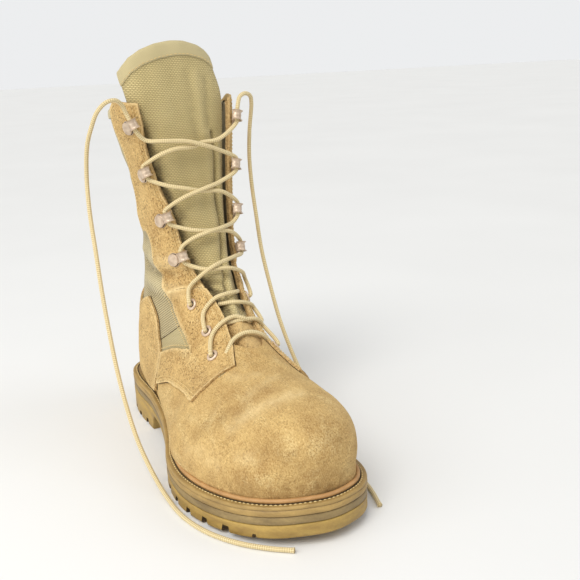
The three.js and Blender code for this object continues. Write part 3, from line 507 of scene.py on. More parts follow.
def cordMaterial(name, light, dark):
    material, tree, shader = newMaterial(name, 0.75, Sheen_Weight=0.2)
    place = node(tree, "ShaderNodeTexCoord").outputs["Object"]
    braidGapShade = node(tree, "ShaderNodeAttribute", attribute_name="braidGapShade").outputs["Fac"]
    # the gaps between strands come out darker, as painted shade
    colour = mixed(tree, ramp(tree, braidGapShade, 0.1, 0.9), dark, light)
    colour = mixed(tree, maths(tree, "MULTIPLY", noise(tree, place, 60.0, 3.0), 0.25), colour, dark)
    tree.links.new(colour, shader.inputs["Base Color"])
    addBump(tree, shader, noise(tree, place, 2600.0, 2.0), 0.0002, 0.4)
    return material


def plainMaterial(name, light, dark, roughness=0.7, scale=220.0, depth=0.0003):
    material, tree, shader = newMaterial(name, roughness)
    place = node(tree, "ShaderNodeTexCoord").outputs["Object"]
    cloud = ramp(tree, noise(tree, place, scale, 4.0, 0.6), 0.32, 0.68)
    tree.links.new(mixed(tree, cloud, dark, light), shader.inputs["Base Color"])
    addBump(tree, shader, noise(tree, place, scale * 4, 3.0), depth, 0.4)
    return material


materials = {
    "suede": suedeMaterial("suede", srgb(230, 194, 128), srgb(172, 130, 72), 760.0, 0.85),
    "vampSuede": suedeMaterial("vampSuede", srgb(226, 190, 122), srgb(172, 130, 70), 1050.0, 0.35),
    "edge": plainMaterial("rawEdge", srgb(220, 190, 134), srgb(146, 110, 62), 0.95, 900.0, 0.0008),
    "nylon": clothMaterial("nylon", srgb(206, 190, 140), srgb(152, 136, 92), (1, 2), 620.0, 900.0),
    "ribbed": clothMaterial("ribbedNylon", srgb(204, 188, 144), srgb(130, 114, 76), (1, 2), 60.0, 560.0,
                            0.0008, turned=0.59, breaks=0.12),
    "tongueCloth": clothMaterial("tongueNylon", srgb(216, 198, 142), srgb(150, 132, 82), (0, 2),
                                 460.0, 760.0, 0.0005),
    "binding": clothMaterial("binding", srgb(208, 194, 148), srgb(178, 162, 116), (0, 2), 900.0, 1500.0,
                             0.0002, roughness=0.55),
    "lining": clothMaterial("lining", srgb(168, 152, 112), srgb(118, 104, 72), (1, 2), 500.0, 700.0),
    "thread": plainMaterial("thread", srgb(234, 210, 152), srgb(196, 166, 106), 0.7, 2400.0),
    "weltThread": plainMaterial("weltThread", srgb(232, 212, 156), srgb(186, 156, 98), 0.8, 1800.0),
    # a dark brown painted shade for the shadow lines at the panel edges and the faces cut into the sole
    "paintedShade": plainMaterial("paintedShade", srgb(84, 64, 34), srgb(46, 34, 18), 0.9, 500.0),
    "outsole": rubberMaterial("outsoleRubber", srgb(190, 158, 84), srgb(142, 112, 56), 0.42),
    "midsole": rubberMaterial("midsoleRubber", srgb(164, 140, 92), srgb(112, 92, 56)),
    "welt": rubberMaterial("weltLeather", srgb(186, 154, 92), srgb(140, 112, 62)),
    "bead": rubberMaterial("bead", srgb(204, 160, 104), srgb(164, 122, 74), 0.4),
    "hookPaint": metalMaterial("hookPaint", srgb(216, 196, 172), srgb(178, 154, 130), 0.36),
    "eyeletPaint": metalMaterial("eyeletPaint", srgb(228, 206, 182), srgb(192, 166, 142), 0.34),
    # a near-black painted shade for the welt groove, under the hook rivets and inside the eyelets
    "hole": plainMaterial("hole", srgb(34, 26, 18), srgb(18, 13, 9), 0.9),
    "cord": cordMaterial("cord", srgb(246, 230, 184), srgb(176, 152, 100)),
}
print("materials ready")


def newObject(name, mesh, slotName, material, *more):
    obj = bpy.data.objects.new(name, mesh)
    bpy.context.scene.collection.objects.link(obj)
    for each in (material, *more):
        mesh.materials.append(materials[each])
    for polygon in mesh.polygons:
        polygon.use_smooth = True
    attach(obj, "root")
    return obj


def meshOf(name, points, faces, values=None):
    # points in millimetres
    mesh = bpy.data.meshes.new(name)
    mesh.from_pydata((np.asarray(points, float) * mm).tolist(), [], faces)
    mesh.update()
    for key, amounts in (values or {}).items():
        paint(mesh, key, amounts)
    return mesh


def gridFaces(rows, count, wrap=False, start=0):
    r, c = np.meshgrid(np.arange(rows - 1), np.arange(count if wrap else count - 1), indexing="ij")
    a = r * count + c
    b = r * count + (c + 1) % count
    quads = np.stack([a, b, b + count, a + count], -1).reshape(-1, 4) + start
    return quads.tolist()


def ringsMesh(name, rings, closeFirst=True, closeLast=True, values=None):
    # skin over closed rings of points
    rings = [np.asarray(r, float) for r in rings]
    count = len(rings[0])
    points = np.vstack(rings)
    faces = gridFaces(len(rings), count, wrap=True)
    if closeFirst:
        faces.append(list(range(count))[::-1])
    if closeLast:
        faces.append([(len(rings) - 1) * count + k for k in range(count)])
    return meshOf(name, points, faces, values)


def tubeRings(path, radius, sides=16):
    # rings along a path, turned as little as possible
    path = np.asarray(path, float)
    run = np.gradient(path, axis=0)
    run /= np.maximum(np.linalg.norm(run, axis=1)[:, None], 1e-9)
    side = np.cross(run[0], (0.13, 0.27, 0.95))
    side /= np.linalg.norm(side)
    turn = 2 * np.pi * np.arange(sides) / sides
    rings = []
    for k in range(len(path)):
        side = side - run[k] * (side @ run[k])
        side /= np.linalg.norm(side)
        other = np.cross(run[k], side)
        size = radius(k, turn) if callable(radius) else radius
        size = np.asarray(size, float)[..., None] if np.ndim(size) else size
        rings.append(path[k] + size * (np.cos(turn)[:, None] * side + np.sin(turn)[:, None] * other))
    return rings


def cleaned(mesh, weld=None, triangulate=False):
    # faces point out; weld joins points that lie together, triangulate splits the many-sided caps
    bm = bmesh.new()
    bm.from_mesh(mesh)
    if weld:
        bmesh.ops.remove_doubles(bm, verts=bm.verts, dist=weld)
    if triangulate:
        bmesh.ops.triangulate(bm, faces=[f for f in bm.faces if len(f.verts) > 4])
    bmesh.ops.recalc_face_normals(bm, faces=bm.faces)
    bm.to_mesh(mesh)
    bm.free()
    return mesh


def thickened(obj, thickness, rim=1, inner=0):
    thick = obj.modifiers.new("thickness", "SOLIDIFY")
    thick.thickness = thickness * mm
    thick.offset = -1
    thick.material_offset = inner
    thick.material_offset_rim = rim


def softEdged(obj, width):
    rounded = obj.modifiers.new("rounded", "BEVEL")
    rounded.width = width * mm
    rounded.segments = 2
    rounded.limit_method = "ANGLE"
    rounded.angle_limit = math.radians(50)
    return rounded


def paint(mesh, key, amounts):
    layer = mesh.attributes.new(key, "FLOAT", "POINT")
    layer.data.foreach_set("value", np.asarray(amounts, np.float32))


def joinParts(name, parts):
    # one mesh from several (points, faces, values) lists
    points, faces, values, start = [], [], {}, 0
    for part in parts:
        p = np.asarray(part[0], float)
        points.append(p)
        faces.extend([[i + start for i in f] for f in part[1]])
        for key, amounts in (part[2] if len(part) > 2 else {}).items():
            values.setdefault(key, []).append(np.asarray(amounts, float))
        start += len(p)
    return meshOf(name, np.vstack(points), faces, {k: np.concatenate(v) for k, v in values.items()})


lace = {"radius": 1.65, "sides": 16, "spacing": 0.75, "pitch": 3.1, "relief": 0.13}


def braidTube(path, spread=None):
    # a round braided cord: two sets of strands cross on the tube's skin; the value kept for the colour is
    # low in the gaps between strands, as painted shade
    n = len(path)
    run = np.arange(n) * lace["spacing"]
    amounts = []

    def radius(k, turn):
        twist = 2 * np.pi * run[k] / lace["pitch"]
        cross = np.cos(4 * turn + twist) * np.cos(4 * turn - twist)
        amounts.append(0.5 + 0.5 * cross)
        return lace["radius"] * (spread(k, n) if spread else 1) - lace["relief"] * (0.5 - 0.5 * cross)

    rings = tubeRings(path, radius, lace["sides"])
    points = np.vstack(rings)
    faces = gridFaces(n, lace["sides"], wrap=True)
    faces.append(list(range(lace["sides"]))[::-1])
    faces.append([(n - 1) * lace["sides"] + k for k in range(lace["sides"])])
    return points, faces, {"braidGapShade": np.concatenate(amounts)}


hook = {"plateRadius": 5.6, "loopX": 12.4, "loopZ": 3.9, "inner": 2.7, "strap": 7.4,
        "heights": (247.5, 210.5, 175.8, 145.6), "fromEdge": {"lateral": 12.0, "medial": 7.0},
        "turned": math.radians(21), "tunnel": (-4.8, -2.2, 2.2, 4.8)}
eyelet = {"hole": 2.2, "flange": 4.6,
          "places": ((113.5, -9.5, 31), (98, -8, 30.5), (85.5, -12.3, 32.5))}
hardwareLift = overlayThickness + 4 * gap
signs = {"lateral": -1, "medial": 1}


def frontSpots(points):
    # places on the front of the form, whichever side they fall on
    out = []
    for x, z in points:
        best = None
        for sign in (-1, 1):
            u, a = locate("front", [(x, z)], sign)[0]
            p = basePoint(u, a)
            miss = abs(p[0] - x) + abs(p[2] - z)
            if best is None or miss < best[0]:
                best = (miss, u, a)
        out.append(best[1:])
    return np.array(out)


def seatMatrix(u, a, sign, lift, turned=0.0):
    # x towards the throat and turned up, z outwards
    outward = normalAt(u, a)
    inward = np.cross((0, 0, 1), outward) * -sign
    inward /= np.linalg.norm(inward)
    inward = inward * math.cos(turned) - np.cross(outward, inward) * sign * math.sin(turned)
    across = np.cross(outward, inward)
    return np.stack([inward, across, outward], 1), formPoint(u, a, lift)


def spotFromEdge(sign, z, distance):
    u, a = frontSpots([(throatX(sign, z), z)])[0]
    before, walked = basePoint(u, a), 0.0
    while walked < distance:
        a += sign * 0.01
        for _ in range(4):
            u += (z - basePoint(u, a)[2]) / 900
        here = basePoint(u, a)
        walked += float(np.linalg.norm(here - before))
        before = here
    return u, a


seats = {}
for side, sign in signs.items():
    for k, z in enumerate(hook["heights"]):
        u, a = spotFromEdge(sign, z, hook["fromEdge"][side])
        seats["hook", side, k] = seatMatrix(u, a, sign, hardwareLift, hook["turned"])
    for k, (z, lateralX, medialX) in enumerate(eyelet["places"]):
        u, a = frontSpots([(lateralX if sign < 0 else medialX, z)])[0]
        seats["eyelet", side, k] = seatMatrix(u, a, sign, hardwareLift)


def onSeat(key, points):
    turn, origin = seats[key]
    return origin + np.asarray(points, float) @ turn.T


def throughHook(side, k):
    up = -signs[side]
    return onSeat(("hook", side, k), [(hook["loopX"], up * r, hook["loopZ"]) for r in hook["tunnel"]])


# routes of the free ends, in metres, as in the part's source from the fall down the side onwards; the
# points before that leave the turned top hooks in a round bend
lateralEnd = [(-0.0418, -0.0556, 0.2585), (-0.0448, -0.0572, 0.2646), (-0.050, -0.060, 0.2684),
              (-0.057, -0.0605, 0.2674), (-0.0632, -0.057, 0.261), (-0.0672, -0.0515, 0.250),
              (-0.070, -0.044, 0.236), (-0.071, -0.036, 0.211),
              (-0.072, -0.039, 0.186), (-0.073, -0.050, 0.158), (-0.074, -0.063, 0.124),
              (-0.074, -0.072, 0.101), (-0.074, -0.084, 0.076), (-0.073, -0.098, 0.051),
              (-0.071, -0.117, 0.027), (-0.068, -0.143, 0.010), (-0.066, -0.168, 0.0032),
              (-0.064, -0.190, 0.0019), (-0.057, -0.215, 0.0019), (-0.045, -0.236, 0.0019),
              (-0.030, -0.252, 0.0019), (-0.017, -0.262, 0.0019)]
medialEnd = [(0.0456, -0.0596, 0.2604), (0.0477, -0.059, 0.2656), (0.0528, -0.0575, 0.2677),
             (0.0579, -0.0552, 0.2656), (0.060, -0.0525, 0.260),
             (0.060, -0.046, 0.238), (0.060, -0.043, 0.217), (0.060, -0.045, 0.195),
             (0.060, -0.051, 0.170), (0.061, -0.056, 0.143), (0.063, -0.065, 0.115),
             (0.064, -0.080, 0.087), (0.066, -0.096, 0.064), (0.068, -0.113, 0.045),
             (0.069, -0.133, 0.027), (0.069, -0.155, 0.012), (0.068, -0.177, 0.004),
             (0.066, -0.198, 0.0019), (0.063, -0.220, 0.0019), (0.057, -0.242, 0.0019)]


def makeFreeEnd(side, route):
    through = throughHook(side, 0)
    away = through[3] - through[2]
    away /= np.linalg.norm(away)
    points = [through[3] - away * 1.2, *[np.array(p) / mm for p in route]]
    path = smoothCurve(points, spacing=lace["spacing"])
    frayed = lambda k, n: 1 + 0.16 * max(0, 1 - (n - 1 - k) / 4)
    part = braidTube(path, frayed)
    obj = newObject(f"laceEnd_{side}", meshOf(f"laceEnd_{side}", *part), "lace_cord", "cord")
    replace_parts(obj, f"lace_end_{side}")


makeFreeEnd("lateral", lateralEnd)
makeFreeEnd("medial", medialEnd)


# strands seen from the front, in millimetres: x and height, then how far they stand off the form
strands = {
    ("lateral", 0, "medial", 1): (
        [(-26, 239.3), (-15.2, 237.5), (-0.6, 235.9), (11.1, 232.4), (23.8, 227.3)], 1.6),
    ("medial", 0, "lateral", 1): (
        [(25, 235.6), (11.1, 233.6), (4.9, 231.3), (-9, 230.9), (-18.6, 227.2), (-24.4, 221.6)], -1.8),
    ("lateral", 1, "medial", 2): ([(-14.7, 203.9), (-3.2, 200.3), (7, 197.4), (23.2, 194.9)], -1.8),
    ("medial", 1, "lateral", 2): ([(22, 202.5), (9.4, 198.8), (-4.5, 194), (-13.1, 188)], 1.6),
    ("lateral", 2, "medial", 3): ([(-7.6, 171), (2.2, 167.6), (13.6, 166.0), (25.3, 163)], -1.8),
    ("medial", 2, "lateral", 3): (
        [(29.5, 170), (18.8, 167.4), (7.4, 165.2), (-2.5, 161.7), (-7.5, 157)], 1.6),
    ("lateral", 3, "medial", "eyelet"): (
        [(-2.5, 141), (4.8, 138.8), (16.7, 137.8), (26.1, 132.6), (32.8, 124)], -1.8),
    ("medial", 3, "lateral", "eyelet"): ([(21.5, 144.2), (8.4, 140.2), (-0.5, 133.4), (-7.2, 124.6)], 1.6),
}
lacing = {"lift": 5.6, "crossAt": 9.0, "crossReach": 9.0}


def strandPoints(sideA, rowA, sideB, rowB):
    line, over = strands[sideA, rowA, sideB, rowB]
    spots = frontSpots(line)
    across = np.array([x for x, _ in line])
    lifts = lacing["lift"] + over * bump(across - lacing["crossAt"], lacing["crossReach"])
    return list(formPoint(spots[:, 0], spots[:, 1], lifts))


def makeUpperLacing():
    parts = []
    other = {"lateral": "medial", "medial": "lateral"}
    for start in ("lateral", "medial"):
        points = list(onSeat(("eyelet", start, 0), [(-0.4, 0, -0.6), (0.2, 0, 2.0)]))
        side = other[start]
        points += strandPoints(side, 3, start, "eyelet")[::-1]
        points += list(throughHook(side, 3))
        for row in (2, 1, 0):
            below, side = side, other[side]
            points += strandPoints(side, row, below, row + 1)[::-1]
            points += list(throughHook(side, row))
        parts.append(braidTube(smoothCurve(points, spacing=lace["spacing"])))
    obj = newObject("lacingOverHooks", joinParts("lacingOverHooks", parts), "lace_cord", "cord")
    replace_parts(obj, "lacing_upper")


# strands in the throat: from an eyelet, x and height with the lift, to under the far edge
throatStrands = [
    ("lateral", 1, [(-5, 108.7, 4.4), (3.1, 118.2, 4.2), (10.2, 121.5, 3.0), (18.4, 122.3, 1.2),
                    (25.5, 121.5, -1.6)]),
    ("lateral", 2, [(-6.1, 95.8, 4.4), (1.7, 103.4, 4.2), (10.3, 107.6, 3.0), (16.7, 106.2, 1.6),
                    (24.2, 103.6, -1.2)]),
    ("medial", 1, [(29.6, 106.5, 4.0), (26.2, 111.1, 3.6), (17.7, 116.2, 1.0), (11.3, 117.4, -0.6),
                   (3.6, 116.6, -1.8)]),
    ("medial", 2, [(30.4, 95.5, 4.2), (24.4, 102.6, 4.0), (15.5, 106.4, 0.6), (8.0, 106.2, -0.8),
                   (1.5, 104.6, -1.8)]),
]
bar = [(-5.5, 88.6, 1.3), (-1.6, 91.8, 2.2), (2.8, 95.4, 2.4), (10.4, 98.7, 2.4), (17, 98.6, 2.4),
       (23, 95.8, 2.4), (30, 89.6, 1.5)]


def liftedPoints(rows):
    spots = frontSpots([(x, z) for x, z, _ in rows])
    return list(formPoint(spots[:, 0], spots[:, 1], np.array([r[2] for r in rows])))


def makeLowerLacing():
    parts = []
    for side, row, line in throatStrands:
        begin = list(onSeat(("eyelet", side, row), [(-0.4, 0, -0.8), (0.2, 0, 1.7)]))
        parts.append(braidTube(smoothCurve(begin + liftedPoints(line), spacing=lace["spacing"])))
    parts.append(braidTube(smoothCurve(liftedPoints(bar), spacing=lace["spacing"])))
    obj = newObject("lacingInThroat", joinParts("lacingInThroat", parts), "lace_cord", "cord")
    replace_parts(obj, "lacing_lower")


makeUpperLacing()
makeLowerLacing()
print("laces ready")

collarAt = lambda y: collar["frontZ"] + (y - collar["frontY"]) * (collar["backZ"] - collar["frontZ"]) / (
    collar["backY"] - collar["frontY"])

# folds and dents: line, width, depth (minus goes in), in millimetres
vampFolds = [
    ([(-34, -186, 66), (-14, -172, 84), (4, -166, 87)], 5.0, -0.9),
    ([(-38, -176, 60), (-20, -160, 82), (-4, -152, 88)], 4.5, -0.8),
    ([(-30, -200, 68), (-8, -188, 82), (14, -182, 84)], 6.0, -0.7),
    ([(30, -186, 78), (16, -170, 86), (8, -158, 89)], 5.0, -0.8),
    ([(40, -176, 66), (30, -160, 80), (20, -150, 90)], 4.0, -0.7),
    ([(-36, -181, 63), (-17, -166, 83), (0, -159, 88)], 3.6, 0.8),
    ([(-44, -150, 52), (-40, -120, 50), (-36, -95, 48)], 6.0, -0.6),
]
# the nap's brushed light streaks and darker patches: line, width, amount
vampStreaks = [
    ([(-30, -202, 66), (-21.7, -206, 71), (-11, -209, 77), (0, -211.8, 80.3), (14, -212, 82)], 6.0, 0.6),
    ([(-16, -190, 77), (-4, -186, 82), (10, -182, 84)], 4.0, 0.4),
    ([(-14, -156, 81), (-8, -166, 82), (2, -172, 84)], 4.0, 0.35),
    ([(-52, -172, 40), (-48, -190, 44), (-44, -206, 42)], 6.0, 0.3),
    ([(24, -236, 70), (34, -222, 66), (40, -206, 60)], 6.0, 0.35),
    ([(-36, -222, 52), (-28, -232, 54)], 5.0, 0.3),
]
vampPatches = [
    ([(-46, -174, 48), (-40, -180, 57), (-28, -193, 67.7)], 7.0, 0.34),
    ([(12, -245, 72), (20, -252, 62)], 9.0, 0.42),
    ([(-24, -236, 58), (-19.6, -239, 61.6), (-8.9, -250, 56), (2, -256, 52)], 8.0, 0.46),
    ([(-40, -222, 36), (-30, -236, 34), (-14, -250, 36), (6, -256, 38), (24, -250, 38)], 7.0, 0.5),
    ([(-10, -160, 84), (4, -150, 90)], 5.0, 0.25),
    ([(46, -190, 48), (50, -214, 44)], 9.0, 0.3),
]
shaftFolds = [
    ([(-19, -68, 134), (-22, -40, 131), (-24, -12, 134)], 3.4, -3.2),
    ([(-19, -60, 143), (-21, -38, 141), (-22, -10, 146)], 5.5, 2.2),
    ([(-18, -72, 122), (-24, -44, 121), (-26, -14, 124)], 5.5, 2.0),
    ([(-20, -70, 112), (-26, -46, 110), (-28, -20, 114)], 3.6, -1.4),
    ([(-20, -30, 158), (-21, 0, 156), (-15, 24, 160)], 5.0, -1.0),
    ([(-24, -14, 176), (-23, 8, 178), (-14, 28, 182)], 6.0, 1.0),
    ([(-28, -8, 214), (-26, 12, 208), (-16, 28, 206)], 6.0, -1.0),
    ([(38, -66, 134), (40, -40, 131), (38, -12, 134)], 3.6, -2.2),
    ([(38, -60, 143), (41, -38, 142), (39, -10, 146)], 5.0, 1.5),
    ([(38, -72, 122), (40, -44, 121), (38, -14, 124)], 5.0, 1.4),
    ([(42, -10, 190), (42, 10, 186), (34, 26, 184)], 6.0, 1.0),
    ([(10, 30, 130), (22, 28, 128), (34, 14, 130)], 4.5, -1.6),
    ([(-4, 30, 142), (10, 31, 140), (28, 24, 142)], 5.0, 1.4),
]


def folded(points, normals, folds):
    total = np.zeros(points.shape[:-1])
    for line, width, depth in folds:
        near = lineDistance(points, smoothCurve(line, spacing=6) if len(line) > 2 else line)
        total += depth * bump(near, width)
    return points + normals * total[..., None], total


def rowEnds(u):
    # where each section's side runs into the sole or the back middle line, and where the throat starts
    steps = np.linspace(0, math.pi, 241)
    ends, starts = {}, {}
    for sign in (-1, 1):
        p = basePoint(u[:, None], sign * steps[None, :])
        above = p[..., 2] - featherAt(p[..., 1])
        last = np.full(len(u), math.pi)
        for r in range(len(u)):
            under = np.nonzero(above[r] < 0.25)[0]
            under = under[under > 20]
            if len(under):
                k = under[0]
                t = (above[r, k - 1] - 0.25) / (above[r, k - 1] - above[r, k])
                last[r] = steps[k - 1] + t * (steps[k] - steps[k - 1])
        ends[sign] = last
        outside = sign * (p[..., 0] - throatX(sign, p[..., 2])) - 1.6
        first = np.zeros(len(u))
        for r in range(len(u)):
            if p[r, 0, 2] < 93:
                continue
            inside = np.nonzero((outside[r] < 0) & (steps < 1.6) & (p[r, :, 2] > 92))[0]
            if len(inside):
                k = inside[-1]
                share = outside[r, k] / (outside[r, k] - outside[r, k + 1])
                first[r] = steps[k] + (steps[k + 1] - steps[k]) * share
        starts[sign] = first
    return starts, ends


ribbedEdge = [(-42, 75), (-50.7, 79.7), (-65.6, 89.1), (-76.6, 97.1), (-88, 106)]  # y and height
rims = {}


def makeUpper():
    u = np.concatenate([[0.0006, 0.002, 0.0045, 0.008], np.linspace(0.012, 0.3, 84, endpoint=False),
                        np.linspace(0.3, 0.995, 150)])
    starts, ends = rowEnds(u)
    throat = np.argmax(starts[-1] > 0)
    ease = np.clip((u - u[throat - 1]) / 0.03, 0, 1) ** 0.5
    count = 72
    parts, faces, grimeandshade, wornandhighlight, base = [], [], [], [], 0
    share = np.linspace(0, 1, count)
    for sign in (-1, 1):
        first = starts[sign] * np.where(u >= u[throat], ease, 0)
        last = ends[sign]
        angleOf = lambda at: sign * (np.interp(at, u, first) * (1 - share) + np.interp(at, u, last) * share)
        topU = np.full(count, 0.93)
        for _ in range(60):
            p = basePoint(topU, angleOf(topU))
            topU = np.clip(topU + (collarAt(p[:, 1]) - p[:, 2]) / 900, 0.7, 1)
        high = np.clip((u - 0.55) / (u[-1] - 0.55), 0, 1)[:, None]
        level = np.broadcast_to(u[:, None], (len(u), count))
        uu = np.where(high > 0, 0.55 + high * (topU[None, :] - 0.55), level)
        angle = np.array([angleOf(row) for row in uu])
        p = basePoint(uu, angle)
        rims[sign] = (topU[count // 4:], angleOf(topU)[count // 4:])
        n = normalAt(uu, angle)
        p, dents = folded(p, n, vampFolds + shaftFolds)
        x, y, z = (p[..., k] for k in range(3))
        pitted = 0.18 * np.sin(x * 0.31 + 2) * np.sin(y * 0.23) * np.sin(z * 0.27 + 1)
        p = p + n * pitted[..., None]
        height = p[..., 2] - featherAt(p[..., 1])
        low = np.clip(1 - height / 26, 0, 1) ** 1.5 * 0.5 * np.clip((-p[..., 1] - 170) / 60, 0.25, 1)
        # darker in the creases as painted shade, low on the toe front as dirt, and along the line where
        # upper meets sole
        grimeandshade.append((np.clip(-dents * 0.28, 0, 0.6) + low + 0.6 * bump(height, 2.2)).ravel())
        light = sum(amount * bump(lineDistance(p, line), width) for line, width, amount in vampStreaks)
        dark = sum(amount * bump(lineDistance(p, line), width) for line, width, amount in vampPatches)
        grimeandshade[-1] = grimeandshade[-1] + dark.ravel()
        # lighter on the fold ridges as painted highlight, plus the nap's light streaks
        wornandhighlight.append((np.clip(dents * 0.5, 0, 0.6) + light).ravel())
        grid = gridFaces(len(u), count, start=base)
        faces += grid if sign > 0 else [f[::-1] for f in grid]
        parts.append(p.reshape(-1, 3))
        base += len(parts[-1])
    tip = list(range(count)), [count * len(u) + k for k in range(count)]
    faces.append([*tip[0], *tip[1][:0:-1]])
    mesh = meshOf("upperBody", np.vstack(parts), faces,
                  {"grimeandshade": np.concatenate(grimeandshade), "wornandhighlight": np.concatenate(wornandhighlight)})
    obj = newObject("upperBody", mesh, "suede", "vampSuede", "nylon", "ribbed",
                    *["lining"] * 3, *["edge"] * 3)  # outside, then inside, then rim
    border = [(-144, 78), (-118, 82), (-96, 80), (-78, 74), (-56, 66), (-40, 80), (0, 100), (45, 100)]
    ribbedFrom = ([43, 50.7, 65.6, 76.6, 90], [75.5, 79.7, 89.1, 97.1, 107])
    limit = along(border, [c.center[1] / mm for c in mesh.polygons])
    centres = np.array([c.center for c in mesh.polygons]) / mm
    for polygon, top, c in zip(mesh.polygons, limit, centres):
        if c[1] > -150 and c[2] > top and not (c[1] < -118 and abs(c[0] - 14) < 24):
            ribbed = np.interp(-c[1], *ribbedFrom) < c[2] < 168
            polygon.material_index = 2 if ribbed else 1
    bm = bmesh.new()
    bm.from_mesh(mesh)
    bmesh.ops.remove_doubles(bm, verts=bm.verts, dist=0.00002)
    bmesh.ops.dissolve_degenerate(bm, dist=0.00001, edges=bm.edges)
    bm.to_mesh(mesh)
    bm.free()
    thickened(obj, wall, rim=6, inner=3)
    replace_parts(obj, "upper")


makeUpper()


def makeCollar():
    # cloth folded over the top edge, from one hook stay round the back to the other
    u = np.concatenate([rims[-1][0], rims[1][0][::-1][1:]])
    a = np.concatenate([rims[-1][1], rims[1][1][::-1][1:]])
    p, n = basePoint(u, a), normalAt(u, a)
    profile = [(-6, 0.15), (-5.9, 0.75), (-3, 0.95), (0.2, 0.8), (1.2, -0.2), (1.4, -1.1), (1.2, -2.0),
               (0.2, -3.0), (-3, -3.1), (-5.9, -2.9)]  # height over the edge, distance out
    up = np.array((0.0, 0.0, 1.0))
    wave = 0.18 * np.sin(np.arange(len(p)) * 0.9)
    rings = np.array([[q + up * (z + wave[k]) + m * out for z, out in profile]
                      for k, (q, m) in enumerate(zip(p, n))])
    mesh = cleaned(meshOf("collarBinding", rings.reshape(-1, 3), gridFaces(len(p), len(profile))))
    newObject("collarBinding", mesh, "nylon", "binding").modifiers.new("smooth", "SUBSURF").render_levels = 1


makeCollar()
print("upper ready")

scaleU, scaleA = 430.0, 42.0  # from places on the form to roughly flat millimetres


def panel(name, outline, folds, step=2.0, jitter=0.2):
    # a sheet of suede cut to an outline of (u, angle) places and laid on the form
    flat = densify(outline)
    wobble = np.array([rng.uniform(-jitter, jitter) for _ in range(2 * len(flat))]).reshape(-1, 2)
    wobble = (wobble + np.roll(wobble, 1, 0) + np.roll(wobble, -1, 0)) / 1.8
    flat = flat + wobble
    bm = bmesh.new()
    bm.faces.new([bm.verts.new((x, y, 0)) for x, y in flat])
    bm.normal_update()
    if bm.faces[:][0].normal.z < 0:
        bmesh.ops.reverse_faces(bm, faces=bm.faces)
    low, high = flat.min(0), flat.max(0)
    for axis in (0, 1):
        direction = (1, 0, 0) if axis == 0 else (0, 1, 0)
        for at in np.arange(low[axis] + step * 0.5, high[axis], step):
            geometry = bm.verts[:] + bm.edges[:] + bm.faces[:]
            spot = (at, 0, 0) if axis == 0 else (0, at, 0)
            bmesh.ops.bisect_plane(bm, geom=geometry, plane_co=spot, plane_no=direction, dist=1e-5)
    bmesh.ops.remove_doubles(bm, verts=bm.verts, dist=0.12)
    co = np.array([v.co[:2] for v in bm.verts]) / (scaleU, scaleA)
    closed = np.column_stack([np.vstack([flat, flat[:1]]), np.zeros(len(flat) + 1)])
    rim = lineDistance(np.array([v.co for v in bm.verts]), closed)
    n = normalAt(co[:, 0], co[:, 1])
    p = basePoint(co[:, 0], co[:, 1]) + n * (gap + overlayThickness)
    p, dents = folded(p, n, folds)
    for v, q in zip(bm.verts, p * mm):
        v.co = q
    bm.normal_update()
    mesh = bpy.data.meshes.new(name)
    if (np.array([f.normal for f in bm.faces]).sum(0) * n.sum(0)).sum() < 0:
        bmesh.ops.reverse_faces(bm, faces=bm.faces)
    bm.to_mesh(mesh)
    bm.free()
    # lighter along the cut rim as wear, with painted highlight on the fold ridges; darker along the first
    # stitch row, with painted shade in the creases
    paint(mesh, "wornandhighlight", 0.75 * bump(rim, 0.9) + np.clip(dents * 0.4, 0, 0.5))
    paint(mesh, "grimeandshade", 0.5 * bump(rim - 2.6, 0.9) + np.clip(-dents * 0.3, 0, 0.6))
    obj = newObject(name, mesh, "suede", "suede", "edge")
    thickened(obj, overlayThickness)
    softEdged(obj, min(0.45, overlayThickness * 0.3)).material = 1
    return obj


def densify(outline, spacing=1.5):
    # even points round an outline, corners kept
    p = np.asarray(outline, float) * (scaleU, scaleA)
    out = []
    for a, b in zip(p, np.roll(p, -1, 0)):
        count = max(1, int(np.linalg.norm(b - a) / spacing))
        out += [a + (b - a) * k / count for k in range(count)]
    return np.array(out)


def softLine(places, spacing=4.0):
    # a smooth stretch of outline through a few places
    return smoothCurve(np.asarray(places) * (scaleU, scaleA), spacing=spacing) / (scaleU, scaleA)


facing = {
    "rear": [(-53.8, 118.1), (-46, 132), (-38, 142.5), (-33, 156), (-24, 163), (-13, 167), (-12, 188),
             (-16.5, 212), (-17.5, 227), (-15.5, 246), (-16.5, 256), (-22, 263), (-32, 267)],
    "inner": (126.1, 133, 143, 150, 160, 168, 176, 186, 196, 206, 214, 226, 238, 250, 259, 265),
}
quarter = {
    "rear": [(-54.0, 117.9), (-68.1, 103.7), (-76.9, 97.5), (-90.5, 90.6), (-101.3, 84.4)],
    "border": [(-101.3, 84.4), (-90, 82.4), (-78.4, 79.4), (-57, 70.6)],
    "back": [(-57, 70.6), (-58.7, 66.5), (-60.8, 56), (-61.5, 47)],
    "lateralLow": [(-61.5, 47), (-66.5, 48.7), (-80, 54.1), (-92, 57.5), (-104, 58.7), (-125.5, 60.3),
                   (-144, 61.4)],
    "medialLow": [(-61.5, 47), (-66.5, 48.7), (-80, 54.1), (-104, 58.7), (-140, 62), (-166, 66)],
    "throat": (125.9, 118, 110),
    "lateralVamp": [(4.7, -107.7), (2.9, -121), (1.6, -131), (-3.3, -146), (-5.2, -151.7)],
    "medialVamp": [(24, -108), (25.5, -121), (28, -133), (31, -148), (36, -168)],
}
counter = {"front": [(-57.4, 40), (-57.8, 49.6), (-59.4, 56), (-57.4, 66.5), (-54.6, 73.6), (-48, 81.4),
                     (-43.2, 91.7), (-33.7, 103.6), (-26.4, 109.5)],
           "backTop": 119, "rows": 56, "columns": 150, "flare": 1.6}
outlines = {}


